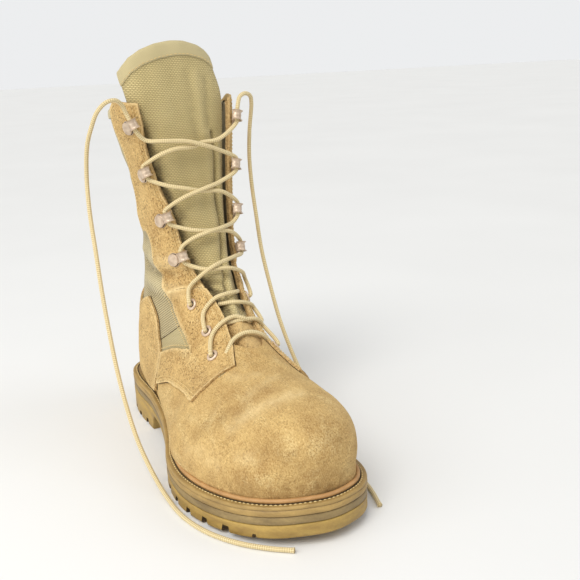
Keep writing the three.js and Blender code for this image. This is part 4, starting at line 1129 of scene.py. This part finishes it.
def makeFacing(side):
    sign = signs[side]
    scallop = lambda z: 0.9 * (0.5 + 0.5 * math.cos((z - 128) * 2 * math.pi / 34))
    inner = frontSpots([(throatX(sign, z) + sign * scallop(z), z) for z in facing["inner"]])
    rear = locate("side", facing["rear"], sign)
    inner, rear = softLine(inner), softLine(rear)
    outline = np.vstack([inner, rear[::-1]])
    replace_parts(panel(f"facing_panel_{side}", outline, shaftFolds), f"facing_{side}")
    outlines["facing", side] = (inner, rear)


def makeQuarter(side):
    sign = signs[side]
    rear = softLine(locate("side", quarter["rear"], sign))
    border = softLine(locate("side", quarter["border"], sign))
    back = softLine(locate("side", quarter["back"], sign))
    low = softLine(locate("side", quarter[f"{side}Low"], sign))
    throat = frontSpots([(throatX(sign, z), z) for z in quarter["throat"]])
    vamp = locate("plan", quarter[f"{side}Vamp"], sign)
    inner = softLine(np.vstack([throat, vamp]))
    outline = np.vstack([inner, low[::-1], back[::-1][1:], border[::-1][1:], rear[::-1][1:]])
    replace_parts(panel(f"quarter_panel_{side}", outline, vampFolds + shaftFolds), f"quarter_{side}")
    outlines["quarter", side] = (inner, low, rear, border)


for side in signs:
    makeFacing(side)
    makeQuarter(side)
print("panels ready")


counterFolds = [
    ([(-34, -30, 60), (-30, 0, 66), (-20, 26, 62)], 9.0, -0.5),
    ([(-30, -40, 86), (-30, -10, 92), (-22, 20, 96)], 7.0, 0.5),
]


def makeCounterPanel():
    # rows climb from the sole to the top edge, columns run round the heel from side to side
    rows, count = counter["rows"], counter["columns"]
    frontEdge = smoothCurve(counter["front"], spacing=2.0)
    picks = [int(round(k)) for k in np.linspace(0, len(frontEdge) - 1, rows)]
    places = {sign: locate("side", [frontEdge[k] for k in picks], sign) for sign in (-1, 1)}
    foot = float(featherAt(20))
    back = []
    for i in range(rows):
        z = foot + 1 + i / (rows - 1) * (counter["backTop"] - foot - 1)
        u = 0.5
        for _ in range(60):
            u += (z - basePoint(u, math.pi)[2]) / 1800
        back.append(u)
    share = np.linspace(-1, 1, count)
    u, angle = np.zeros((rows, count)), np.zeros((rows, count))
    for i in range(rows):
        for j, s in enumerate(share):
            sign = -1 if s < 0 else 1
            uEdge, angleEdge = places[sign][i]
            angle[i, j] = sign * (math.pi + (abs(angleEdge) - math.pi) * abs(s))
            u[i, j] = back[i] + (uEdge - back[i]) * abs(s) ** 1.6
    p = basePoint(u, angle)
    for _ in range(12):  # the foot of the counter stays just above the sole
        lack = np.maximum(featherAt(p[..., 1]) + 0.8 - p[..., 2], 0)
        if lack.max() < 0.05:
            break
        u = u + lack / 900
        p = basePoint(u, angle)
    n = normalAt(u, angle)
    flare = counter["flare"] * bump(p[..., 2] - featherAt(p[..., 1]) - 2, 9)
    p = p + n * (gap + overlayThickness + flare)[..., None]
    p, dents = folded(p, n, counterFolds)
    fromTop = (rows - 1 - np.arange(rows))[:, None] * 1.5
    fromSide = (1 - np.abs(share))[None, :] * 90
    rim = np.minimum(np.broadcast_to(fromTop, u.shape), np.broadcast_to(fromSide, u.shape))
    # lighter along the rim as wear; darker at the foot by the sole, with painted shade in the creases
    low = bump(p[..., 2] - featherAt(p[..., 1]), 5) * 0.5
    mesh = meshOf("counterPanel", p.reshape(-1, 3), gridFaces(rows, count),
                  {"wornandhighlight": (0.7 * bump(rim, 1.2)).ravel(),
                   "grimeandshade": (low + np.clip(-dents * 0.3, 0, 0.5)).ravel()})
    if Vector(mesh.polygons[0].normal).dot(Vector(n[0, 0])) < 0:
        mesh.flip_normals()
    obj = newObject("counterPanel", mesh, "suede", "suede", "edge")
    thickened(obj, overlayThickness)
    softEdged(obj, 0.45)
    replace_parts(obj, "heel_counter")


makeCounterPanel()
print("counter ready")

tongue = {"thickness": 3.0, "lift": -wall - 1.3, "reach": ((0.315, 0.62, 0.62), (0.992, 1.2, 0.72)),
          "top": [(-46, 284), (-42, 291.5), (-37, 297.5), (-28, 303), (-16, 307), (-4, 309), (8, 308.6),
                  (20, 305.5), (26.5, 302), (31, 297.5), (34.5, 291.5), (38, 284)], "binding": 11.0,
          "rows": 190, "columns": 72, "suedeBelow": 106.5}
# seen from the front: line, width, depth
tongueFolds = [
    ([(23.8, 240), (25.2, 222), (24, 205), (22.7, 187), (24, 171), (20.4, 152), (18, 143), (14.9, 130),
      (12.7, 120)], 1.5, -2.4),
    ([(27.5, 232), (27.5, 205), (26.5, 187), (27.5, 171), (24.5, 152), (21, 138), (18, 124),
      (14, 108)], 2.6, 1.5),
    ([(18.5, 240), (19.5, 222), (18.5, 205), (17.5, 187), (18.5, 171), (15.5, 152)], 3.4, 0.9),
    ([(0, 129.5), (5.3, 129.8), (12.9, 128.5)], 2.0, -2.0),
    ([(-3, 134), (5, 134.5), (13, 133)], 3.2, 1.6),
    ([(1.5, 122.8), (7.1, 122.9), (11.1, 121.5)], 1.8, -2.2),
    ([(4.5, 112.4), (9.3, 112), (8.8, 105)], 1.8, -2.0),
    ([(13.5, 116), (13, 106), (12, 98)], 2.6, 1.6),
    ([(-14, 196), (-10, 186), (-6, 178)], 3.0, -1.2),
    ([(-20, 226), (-12, 208), (-6, 196)], 4.0, -0.8),
    ([(2, 180), (6, 186), (10, 200)], 4.5, 0.7),
    ([(6, 286), (8, 262), (10, 238)], 3.5, -0.8),
    ([(14, 284), (15, 262), (16, 240)], 3.0, 0.8),
    ([(22, 280), (21.5, 262), (21, 244)], 2.6, -0.9),
    ([(-8, 270), (-6, 250), (-2, 232)], 5.0, 0.5),
]


def tongueRelief(p):
    # soft upright ripples on the medial half, gusset folds low down
    flat = p[..., [0, 2]]
    total = 0.3 * (1 - np.clip((p[..., 0] - 4) / 14, 0, 1)) * np.sin(p[..., 0] * 0.33 + p[..., 2] * 0.02 + 1)
    for line, width, depth in tongueFolds:
        total = total + depth * bump(lineDistance(flat, smoothCurve(line, spacing=5)), width)
    lateralEdge = p[..., 0] - throatX(-1, p[..., 2])
    total = total - 1.8 * bump(lateralEdge, 4.0) * np.clip((254 - p[..., 2]) / 14, 0, 1)
    return total + 1.8 * np.clip((108 - p[..., 2]) / 2.5, 0, 1)


def makeTongue():
    rows, count = tongue["rows"], tongue["columns"]
    (u0, l0, m0), (u1, l1, m1) = tongue["reach"]
    share = np.linspace(0, 1, rows)
    cols = np.linspace(0, 1, count)
    lateral, medial = l0 + (l1 - l0) * share, m0 + (m1 - m0) * share
    angle = -lateral[:, None] + (lateral + medial)[:, None] * cols[None, :]
    topAt = lambda x: np.interp(x, [r[0] for r in tongue["top"]], [r[1] for r in tongue["top"]])
    top = np.full(count, u1)
    for _ in range(30):
        p = basePoint(top, angle[-1])
        top = np.minimum(top + (topAt(p[:, 0]) - p[:, 2]) / 900, 1)
    uu = u0 + (top - u0)[None, :] * share[:, None]
    n = normalAt(uu, angle)
    p = basePoint(uu, angle) + n * tongue["lift"]
    relief = tongueRelief(p)
    fade = np.clip(np.minimum(cols, 1 - cols) * 12, 0, 1)[None, :]
    p = p + n * (relief * fade)[..., None]
    run = np.concatenate([np.zeros((1, count)), np.cumsum(np.linalg.norm(np.diff(p, axis=0), axis=-1), 0)])
    fromTop = run[-1][None, :] - run
    edges = np.minimum(np.abs(p[..., 0] - throatX(-1, p[..., 2])), np.abs(p[..., 0] - throatX(1, p[..., 2])))
    inThroat = np.clip((252 - p[..., 2]) / 20, 0, 1)
    # painted shade in the creases, painted shadow just under the binding, darker low down, and painted
    # shadow where the tongue slips under the throat edges; the ridges get painted highlight
    grimeandshade = (np.clip(-relief * 0.34, 0, 0.75) + 0.35 * bump(fromTop - tongue["binding"] - 1, 1.2)
             + 0.3 * np.clip((140 - p[..., 2]) / 50, 0, 1) + 0.85 * bump(edges - 0.5, 3.6) * inThroat)
    mesh = meshOf("tonguePanel", p.reshape(-1, 3), gridFaces(rows, count),
                  {"grimeandshade": grimeandshade.ravel(), "wornandhighlight": np.clip(relief * 0.15, 0, 0.3).ravel()})
    if Vector(mesh.polygons[0].normal).dot(Vector(n[0, 0])) < 0:
        mesh.flip_normals()
    obj = newObject("tonguePanel", mesh, "nylon", "tongueCloth", "suede",
                    "lining", "lining", "binding", "binding")  # outside, then inside, then rim
    for polygon in mesh.polygons:
        polygon.material_index = int(polygon.center[2] < tongue["suedeBelow"] * mm)
    thickened(obj, tongue["thickness"], rim=4, inner=2)
    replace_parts(obj, "tongue")
    # the binding folds over the top edge
    profile = [(-tongue["binding"], 0.25), (-tongue["binding"], 0.75), (-6, 0.95), (-1.5, 0.9), (0.2, 0.1),
               (0.75, -1.3), (0.5, -2.7), (-1, -tongue["thickness"] - 0.7), (-8, -tongue["thickness"] - 0.6),
               (-8, -tongue["thickness"] - 0.1)]
    rings = []
    for k in range(count):
        path, normal = p[:, k], n[:, k]
        upward = path[-1] - path[-6]
        upward /= np.linalg.norm(upward)
        ring = []
        for down, out in profile:
            if down < 0:
                at = np.interp(fromTop[0, k] + down, run[:, k], np.arange(rows))
                i = min(int(at), rows - 2)
                spot = path[i] + (path[i + 1] - path[i]) * (at - i)
            else:
                spot = path[-1] + upward * down
            ring.append(spot + normal[-1 if down >= 0 else min(int(at), rows - 1)] * out)
        rings.append(ring)
    rings = np.array(rings)
    edge = cleaned(meshOf("tongueBinding", rings.reshape(-1, 3), gridFaces(count, len(profile))))
    bound = newObject("tongueBinding", edge, "nylon", "binding")
    smooth = bound.modifiers.new("smooth", "SUBSURF")
    smooth.levels = smooth.render_levels = 1
    seam = rings[:, 1] * 0.75 + rings[:, 2] * 0.25
    return seam, n[-20]


tongueSeam, tongueNormals = makeTongue()
print("tongue ready")

stitch = {"panel": {"pitch": 2.9, "length": 2.1, "radius": 0.36},
          "tongue": {"pitch": 3.2, "length": 2.2, "radius": 0.3},
          "welt": {"pitch": 3.1, "length": 2.5, "radius": 0.45, "rise": 0.0}}
stitchParts = {"thread": [], "weltThread": []}


def stitchRow(line, normals, kind, pitch, length, radius, rise=0.1):
    # small rounded stitches along a line
    line, normals = np.asarray(line, float), np.asarray(normals, float)
    run = np.concatenate([[0], np.cumsum(np.linalg.norm(np.diff(line, axis=0), axis=1))])
    rings, sides = 5, 6
    turn = 2 * np.pi * np.arange(sides) / sides
    swell = np.array([0.35, 0.9, 1.0, 0.9, 0.35])
    dip = np.array([-0.7, -0.1, 0.1, -0.1, -0.7]) * radius
    for start in np.arange(pitch / 2, run[-1] - pitch / 2, pitch):
        at = start + np.linspace(-0.5, 0.5, rings) * length
        spots = np.stack([np.interp(at, run, line[:, k]) for k in range(3)], 1)
        out = np.stack([np.interp(start, run, normals[:, k]) for k in range(3)])
        out /= np.linalg.norm(out)
        ahead = spots[-1] - spots[0]
        ahead /= np.linalg.norm(ahead)
        side = np.cross(out, ahead)
        points = []
        for k in range(rings):
            centre = spots[k] + out * (dip[k] + rise)
            ring = np.cos(turn)[:, None] * side + np.sin(turn)[:, None] * out
            points.append(centre + radius * swell[k] * ring)
        faces = gridFaces(rings, sides, wrap=True)
        faces += [list(range(sides))[::-1], [(rings - 1) * sides + k for k in range(sides)]]
        stitchParts[kind].append((np.vstack(points), faces))


def edgeRow(places, inward, lift):
    # a stitch row beside an edge: inward is positive to the left of travel
    places = np.asarray(places, float)
    p = basePoint(places[:, 0], places[:, 1])
    n = normalAt(places[:, 0], places[:, 1])
    run = np.gradient(p, axis=0)
    run /= np.maximum(np.linalg.norm(run, axis=1)[:, None], 1e-9)
    p = p + np.cross(n, run) * inward + n * lift
    p, _ = folded(p, n, vampFolds + shaftFolds)
    stitchRow(p, n, "thread", **stitch["panel"])


def seamShadowRings(places, lift, radius=0.3):
    # a dark tube painted as the shadow where one layer ends on another
    places = np.asarray(places, float)
    p = basePoint(places[:, 0], places[:, 1])
    n = normalAt(places[:, 0], places[:, 1])
    p = p + n * lift
    p, _ = folded(p, n, vampFolds + shaftFolds)
    return tubeRings(p, radius, 6)


def makeSeamShadows():
    parts = []
    for side, sign in signs.items():
        inner, low, _, border = outlines["quarter", side]
        bottom = [p for p in inner if basePoint(*p)[2] < 97]
        counterEdge = locate("side", smoothCurve(counter["front"], spacing=5), sign)
        nylonSeam = locate("side", ribbedEdge, sign)
        lines = [low, border, bottom, softLine(counterEdge), softLine(nylonSeam)]
        for line in lines:
            if len(line) > 2:
                rings = seamShadowRings(line, 0.2)
                parts.append((np.vstack(rings), gridFaces(len(rings), 6, wrap=True)))
    # the dark tubes stand in for the shadow along the panel edges
    newObject("seamShadowLines", joinParts("seamShadowLines", parts), "suede", "paintedShade")


makeSeamShadows()


def stitchPanels():
    top = gap + overlayThickness
    for side, sign in signs.items():
        inner, rear = outlines["facing", side]
        for inset in (2.4, 4.6):
            edgeRow(rear, sign * inset, top)
            edgeRow(inner, -sign * inset, top)
        inner, low, rear, border = outlines["quarter", side]
        for inset in (2.6, 4.8):
            edgeRow(low, -sign * inset, top)
            edgeRow(inner, sign * inset, top)
        edgeRow(rear, sign * 2.4, top)
        edgeRow(border, sign * 2.4, top)


stitchPanels()
upright = np.repeat(tongueNormals.mean(0)[None], len(tongueSeam), 0)
stitchRow(tongueSeam, upright, "thread", **stitch["tongue"])

sole = {"midsoleDrop": 12.7, "beadInset": 6.1, "beadRadius": 1.55, "beadRise": 1.5,
        "beadBack": -60.0, "lugLong": 6.4, "lugDeep": 8.5, "lugTall": 5.0,
        "foreLugs": (-130, 18.7, 7), "heelLugs": (24, 17.5, 4),  # y of the first, pitch, number
        "foreChannels": (-126, 18.7, 7), "heelChannels": (33, 17.5, 4),
        "stitchInset": 3.1, "grooveInset": 4.2}
blockFaces = [[0, 1, 2, 3], [7, 6, 5, 4], [0, 4, 5, 1], [1, 5, 6, 2], [2, 6, 7, 3], [3, 7, 4, 0]]


def ringAt(inset, height):
    flat = planInset(inset)
    z = height(flat[:, 1]) if callable(height) else height
    return np.column_stack([flat, np.broadcast_to(z, len(flat))])


def innerRing(share, height, inset=0.0):
    # a ring drawn in towards the sole's middle line
    flat = planInset(inset)
    spine = np.clip(flat[:, 1], -225, 5)
    centre = np.array([np.mean(edgesAt(plan, y)) for y in spine])
    flat = flat + (np.column_stack([centre, spine]) - flat) * share
    return np.column_stack([flat, height(flat[:, 1])])


def stations(*rows):
    return [first - pitch * k for first, pitch, number in rows for k in range(number)]


def lugBlock(x, y, outward):
    # the notch between two lugs, cut in from the sole's edge
    rise = float(treadAt(y))
    ahead = edgesAt(plan, y - 4)[0 if outward < 0 else 1] - x
    slope = math.atan2(ahead, 4) * 0.7
    narrow, shallow = (0.3, 0.6) if y < -225 else (1.0, 1.0)
    low, high = rise - 6, rise + sole["lugTall"] * shallow
    halfLow, halfHigh = sole["lugLong"] * 0.5 * narrow, sole["lugLong"] * 0.34 * narrow
    block = []
    for z, half in ((low, halfLow + 1.2), (high, halfHigh)):
        for dx, dy in ((-sole["lugDeep"], -half), (6, -half), (6, half), (-sole["lugDeep"], half)):
            dx *= outward
            block.append((x + dx * math.cos(slope) - dy * math.sin(-slope) * outward * 0.4,
                          y + dy + dx * math.sin(slope) * outward * 0.5, z))
    return block, blockFaces


def channelBlocks(y):
    # the cross channels of the tread, one from each side
    least, most = edgesAt(plan, y)
    rise = float(treadAt(y))
    blocks = []
    for a, b in ((least + 16, (least + most) / 2 - 4), (most - 16, (least + most) / 2 + 4)):
        block = [(a, y - 2, rise - 4), (b, y - 8, rise - 4), (b, y - 4.5, rise - 4), (a, y + 1.5, rise - 4)]
        block += [(x, yy, rise + 3.2) for x, yy, _ in block]
        blocks.append((block, blockFaces))
    return blocks


def makeOutsole():
    upperZ = lambda y: featherAt(y) - sole["midsoleDrop"] - 0.1
    rings = [innerRing(0.6, upperZ), ringAt(1.0, upperZ), ringAt(0.3, lambda y: upperZ(y) - 0.4),
             ringAt(0, lambda y: upperZ(y) - 1.2), ringAt(0.25, lambda y: (upperZ(y) + treadAt(y)) / 2),
             ringAt(0.1, lambda y: treadAt(y) + 1.2), ringAt(0.5, lambda y: treadAt(y) + 0.35),
             ringAt(1.3, treadAt)]
    rings += [innerRing(s, treadAt, 1.3) for s in (0.08, 0.2, 0.4, 0.6, 0.8)]
    mesh = cleaned(ringsMesh("outsoleBlock", rings), triangulate=True)
    obj = newObject("outsoleBlock", mesh, "outsole_rubber", "outsole", "paintedShade")
    cuts = []
    for y in stations(sole["foreLugs"], sole["heelLugs"]):
        for x, outward in zip(edgesAt(plan, y), (-1, 1)):
            cuts.append(lugBlock(x, y, outward))
    for y in stations(sole["foreChannels"], sole["heelChannels"]):
        cuts += channelBlocks(y)
    cutter = bpy.data.objects.new("lugCutter", joinParts("lugCutter", cuts))
    bpy.context.scene.collection.objects.link(cutter)
    # the cutter's faces bring the dark painted-shade material into the cut notches and channels
    for each in ("outsole", "paintedShade"):
        cutter.data.materials.append(materials[each])
    for polygon in cutter.data.polygons:
        polygon.material_index = 1
    cleaned(cutter.data)
    cut = obj.modifiers.new("lugs", "BOOLEAN")
    cut.object = cutter
    cut.solver = "EXACT"
    cut.use_self = True
    bpy.context.view_layer.update()
    done = bpy.data.meshes.new_from_object(obj.evaluated_get(bpy.context.evaluated_depsgraph_get()))
    obj.modifiers.clear()
    obj.data = done
    bpy.data.objects.remove(cutter)
    done.set_sharp_from_angle(angle=math.radians(38))
    points = np.array([v.co for v in done.vertices]) / mm
    above = points[:, 2] - treadAt(points[:, 1])
    # darker along the foot of the tread, and painted shade on the tops of the notches
    paint(done, "grimeandshade", 0.45 * bump(above, 1.6) + 0.5 * bump(above - 5.2, 0.5))
    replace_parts(obj, "outsole")


def band(name, slotName, material, cadNode, rows):
    # a layer that runs round the sole: inset, height over the feather line, and how dark it is there, which
    # is painted shade at the joins and in the grooves
    rings = [ringAt(inset, lambda y, rise=rise: featherAt(y) + rise) for inset, rise, _ in rows]
    mesh = cleaned(ringsMesh(name, rings), triangulate=True)
    paint(mesh, "grimeandshade", np.repeat([amount for _, _, amount in rows], len(plan)))
    obj = newObject(name, mesh, slotName, material)
    mesh.set_sharp_from_angle(angle=math.radians(40))
    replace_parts(obj, cadNode)


midsoleRows = [(14, -12.6, 0.8), (0.9, -12.6, 0.9), (0.3, -12.4, 0.8), (0.1, -11.6, 0.3), (0.2, -9.8, 0.1),
               (0.1, -8.1, 0.2), (0.45, -7.4, 0.6), (1.2, -7.2, 0.9), (14, -7.2, 0.9)]
weltRows = [(14, -7.1, 0.9), (0.9, -7.1, 0.9), (0.3, -6.9, 0.6), (-0.1, -5.9, 0.1), (-0.15, -4.4, 0.0),
            (0.1, -3.1, 0.1), (0.45, -2.75, 0.7), (0.45, -2.5, 0.7), (0.1, -2.2, 0.1), (0.0, -1.4, 0.0),
            (0.25, -0.6, 0.0), (0.7, -0.15, 0.1), (1.3, 0, 0.2), (3.0, 0.05, 0.6), (13, 0.05, 0.9)]
makeOutsole()
band("midsoleLayer", "midsole_rubber", "midsole", "midsole", midsoleRows)
band("weltLayer", "welt_leather", "welt", "welt", weltRows)
print("sole layers ready")


def makeBead():
    # the rolled bead on the welt, from side to side round the toe
    flat = planInset(sole["beadInset"])
    start = np.argmin(np.abs(flat[:, 1] - sole["beadBack"]) + 1000 * (flat[:, 0] > 0))
    stop = np.argmin(np.abs(flat[:, 1] - sole["beadBack"]) + 1000 * (flat[:, 0] < 0))
    path = flat[start:stop + 1] if start < stop else np.vstack([flat[start:], flat[:stop + 1]])
    path = np.column_stack([path, featherAt(path[:, 1]) + sole["beadRise"]])
    path = smoothCurve(path, spacing=2.2)
    n = len(path)
    fade = lambda k: min(1, 0.35 + 0.65 * min(k, n - 1 - k) / 14)
    rings = tubeRings(path, lambda k, turn: np.full(14, sole["beadRadius"] * fade(k)), 14)
    newObject("stormBead", ringsMesh("stormBead", rings), "welt_leather", "bead")


def makeWeltSeam():
    # a row of stitches round the welt, and a dark tube inside it painted as the shade in the groove
    rows = {}
    for key, lift in (("stitchInset", 0.05), ("grooveInset", 0.1)):
        flat = planInset(sole[key])
        line = np.column_stack([flat, featherAt(flat[:, 1]) + lift])
        rows[key] = np.vstack([line, line[:1]])
    up = np.repeat([[0.0, 0.0, 1.0]], len(plan) + 1, 0)
    stitchRow(rows["stitchInset"], up, "weltThread", **stitch["welt"])
    groove = ringsMesh("weltGrooveShade", tubeRings(rows["grooveInset"], 0.32, 6), False, False)
    newObject("weltGrooveShade", groove, "welt_leather", "hole")


makeBead()
makeWeltSeam()


def makeInsole():
    under = lambda y: featherAt(y) + gap
    rings = [innerRing(s, lambda y: under(y) + 3.4 - 1.2 * s, 10.5) for s in (0.8, 0.5, 0.25, 0.08)]
    rings += [ringAt(10.6, lambda y: under(y) + 3.3), ringAt(10.4, under)]
    mesh = cleaned(ringsMesh("insoleSheet", rings, True, False))
    obj = newObject("insoleSheet", mesh, "lining_fabric", "lining")
    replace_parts(obj, "insole")


makeInsole()
print("sole ready")

hookShape = {"rivet": 5.0, "thickness": 0.9, "flare": 1.5, "from": 236, "to": -40, "drop": 0.6}


def lathe(profile, sides=24):
    turn = 2 * np.pi * np.arange(sides) / sides
    rings = [np.column_stack([r * np.cos(turn), r * np.sin(turn), np.full(sides, z)]) for r, z in profile]
    return np.vstack(rings), gridFaces(len(rings), sides, wrap=True)


def hookParts():
    r, rivet = hook["plateRadius"], hookShape["rivet"]
    plate = lathe([(0.01, 0.0), (r - 0.3, 0.0), (r, 0.2), (r, 0.5), (r - 0.3, 0.65), (rivet + 0.05, 0.7),
                   (rivet - 0.7, 0.75), (rivet - 0.8, 1.2), (rivet - 0.1, 1.35), (rivet, 1.6),
                   (rivet - 0.1, 1.95), (rivet - 0.5, 2.2), (rivet - 1.6, 2.4), (rivet - 3, 2.5),
                   (0.01, 2.55)], 32)
    radius = hook["inner"] + hookShape["thickness"] / 2
    arc = np.radians(np.linspace(hookShape["from"], hookShape["to"], 22))
    curve = [(3.4, 0.9), (4.8, 0.85), (6.0, 0.75), (7.4, 0.7), (8.8, 0.6)]
    middle = np.array((hook["loopX"], hook["loopZ"]))
    curve += [(middle[0] + radius * math.cos(t), middle[1] + radius * math.sin(t)) for t in arc]
    curve = smoothCurve(curve, count=44)
    run = np.gradient(curve, axis=0)
    run /= np.linalg.norm(run, axis=1)[:, None]
    out = np.stack([-run[:, 1], run[:, 0]], 1)
    if out[-1] @ (curve[-1] - middle) < 0:
        out = -out
    cols = np.linspace(-1, 1, 17)
    share = np.linspace(0, 1, len(curve))
    widening = 0.86 + 0.14 * np.clip((share - 0.1) / 0.2, 0, 1)
    half = hook["strap"] / 2 * widening + 0.75 * bump(share - 0.2, 0.05)
    flare = hookShape["flare"] * np.abs(cols) ** 4
    shells = []
    for shift in (hookShape["thickness"] / 2, -hookShape["thickness"] / 2):
        points = []
        for i, (x, z) in enumerate(curve):
            rise = np.clip((share[i] - 0.14) / 0.12, 0, 1)
            for j, c in enumerate(cols):
                away = shift + flare[j] * rise + 0.25 * bump(c, 0.3) * rise
                points.append((x + out[i][0] * away, c * half[i], z + out[i][1] * away))
        shells.append(np.array(points))
    count, rows = len(cols), len(curve)
    faces = gridFaces(rows, count) + [f[::-1] for f in gridFaces(rows, count, start=rows * count)]
    border = list(range(count)) + [r * count + count - 1 for r in range(1, rows)]
    border += [(rows - 1) * count + k for k in range(count - 2, -1, -1)]
    border += [r * count for r in range(rows - 2, 0, -1)]
    for a, b in zip(border, border[1:] + border[:1]):
        faces.append([b, a, a + rows * count, b + rows * count])
    ring = lathe([(rivet - 0.9, 0.76), (rivet + 0.25, 0.76), (rivet + 0.25, 0.98), (rivet - 0.9, 1.12)], 32)
    return plate, (np.vstack(shells), faces), ring


def eyeletParts():
    h, f = eyelet["hole"], eyelet["flange"]
    profile = [(h, -2.6), (h, 0.2), (h + 0.15, 0.7), (h + 0.6, 1.1), (h + 1.15, 1.2), (f - 0.5, 0.95),
               (f - 0.1, 0.5), (f, 0.1), (f - 0.1, -0.15), (h + 0.4, -0.2)]
    return lathe(profile, 28)


def makeHook(side, k, plate, loop, shade):
    key, label = ("hook", side, k), f"{side}_{k + 1}"
    lowered = lambda points: onSeat(key, points - np.array((0, 0, hookShape["drop"])))
    parts = [(lowered(points), faces) for points, faces in (plate, loop)]
    mesh = cleaned(joinParts(f"speedHook_{label}", parts), weld=weldReach)
    obj = newObject(f"speedHook_{label}", mesh, "hook_metal", "hookPaint")
    mesh.set_sharp_from_angle(angle=math.radians(50))
    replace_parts(obj, f"hook_{label}")
    ring = cleaned(meshOf(f"hookShade_{label}", lowered(shade[0]), shade[1]), weld=weldReach)
    newObject(f"hookShade_{label}", ring, "hook_metal", "hole")


def makeEyelet(side, k):
    key, label = ("eyelet", side, k), f"{side}_{k + 1}"
    points, faces = eyeletParts()
    mesh = cleaned(meshOf(f"grommet_{label}", onSeat(key, points - (0, 0, 0.5)), faces), weld=weldReach)
    obj = newObject(f"grommet_{label}", mesh, "eyelet_metal", "eyeletPaint")
    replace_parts(obj, f"eyelet_{label}")
    # a dark disc inside the eyelet, painted as the shade in it
    sides, radius = 24, eyelet["hole"] + 0.2
    turn = 2 * np.pi * np.arange(sides) / sides
    disc = np.column_stack([radius * np.cos(turn), radius * np.sin(turn), np.full(sides, -0.85)])
    caps = [list(range(sides)), list(range(2 * sides - 1, sides - 1, -1))]
    dark = meshOf(f"eyeletHoleShade_{label}", np.vstack([onSeat(key, disc), onSeat(key, disc - (0, 0, 0.3))]),
                  caps + gridFaces(2, sides, wrap=True))
    newObject(f"eyeletHoleShade_{label}", cleaned(dark, weld=weldReach), "eyelet_metal", "hole")


weldReach = 0.00001  # metres
shapes = hookParts()
for side in signs:
    for k in range(len(hook["heights"])):
        makeHook(side, k, *shapes)
    for k in range(len(eyelet["places"])):
        makeEyelet(side, k)

for kind, parts in stitchParts.items():
    newObject(f"stitches_{kind}", joinParts(f"stitches_{kind}", parts), "lace_cord", kind)
print("hardware and stitches ready")


stage = {"reach": 9, "pale": (0.86, 0.86, 0.85, 1), "shaded": (0.80, 0.80, 0.79, 1),
         "sky": (0.96, 0.97, 0.98, 1),
         "skyLight": 0.52, "skySeen": 0.36, "aim": (0, -0.1, 0.12), "softness": 35, "lampSize": 0.8}
# name, kind, place in metres, power, colour
lamps = [("key", "SUN", (-0.75, -0.75, 1.35), 1.9, (1, 0.985, 0.95)),
         ("fill", "SUN", (0.9, -0.6, 0.9), 0.5, (0.95, 0.97, 1)),
         ("side", "AREA", (-0.9, -0.35, 0.5), 3.5, (1, 0.98, 0.94))]


def makeFloor():
    far = stage["reach"]
    mesh = bpy.data.meshes.new("floor")
    mesh.from_pydata([(-far, -far, 0), (far, -far, 0), (far, far, 0), (-far, far, 0)], [], [(0, 1, 2, 3)])
    floor = bpy.data.objects.new("floor", mesh)
    bpy.context.scene.collection.objects.link(floor)
    material, tree, shader = newMaterial("floor", 0.6)
    place = node(tree, "ShaderNodeTexCoord").outputs["Object"]
    tone = mixed(tree, noise(tree, place, 3.0, 2.0), stage["shaded"], stage["pale"])
    tree.links.new(tone, shader.inputs["Base Color"])
    mesh.materials.append(material)


def makeSky():
    world = bpy.data.worlds.new("studio")
    world.use_nodes = True
    tree = world.node_tree
    sky = tree.nodes["Background"]
    seen = tree.nodes.new("ShaderNodeLightPath").outputs["Is Camera Ray"]
    strength = maths(tree, "ADD", maths(tree, "MULTIPLY", seen, stage["skySeen"]), stage["skyLight"])
    tree.links.new(strength, sky.inputs[1])
    sky.inputs[0].default_value = stage["sky"]
    bpy.context.scene.world = world


def makeLamps():
    for name, kind, place, power, colour in lamps:
        lamp = bpy.data.lights.new(name, kind)
        lamp.energy, lamp.color = power, colour
        if kind == "SUN":
            lamp.angle = math.radians(stage["softness"])
        else:
            lamp.size = stage["lampSize"]
        obj = bpy.data.objects.new(name, lamp)
        obj.location = place
        obj.rotation_euler = (Vector(stage["aim"]) - Vector(place)).to_track_quat("-Z", "Y").to_euler()
        bpy.context.scene.collection.objects.link(obj)
    bpy.context.scene.view_settings.view_transform = "Standard"


makeFloor()
makeSky()
makeLamps()
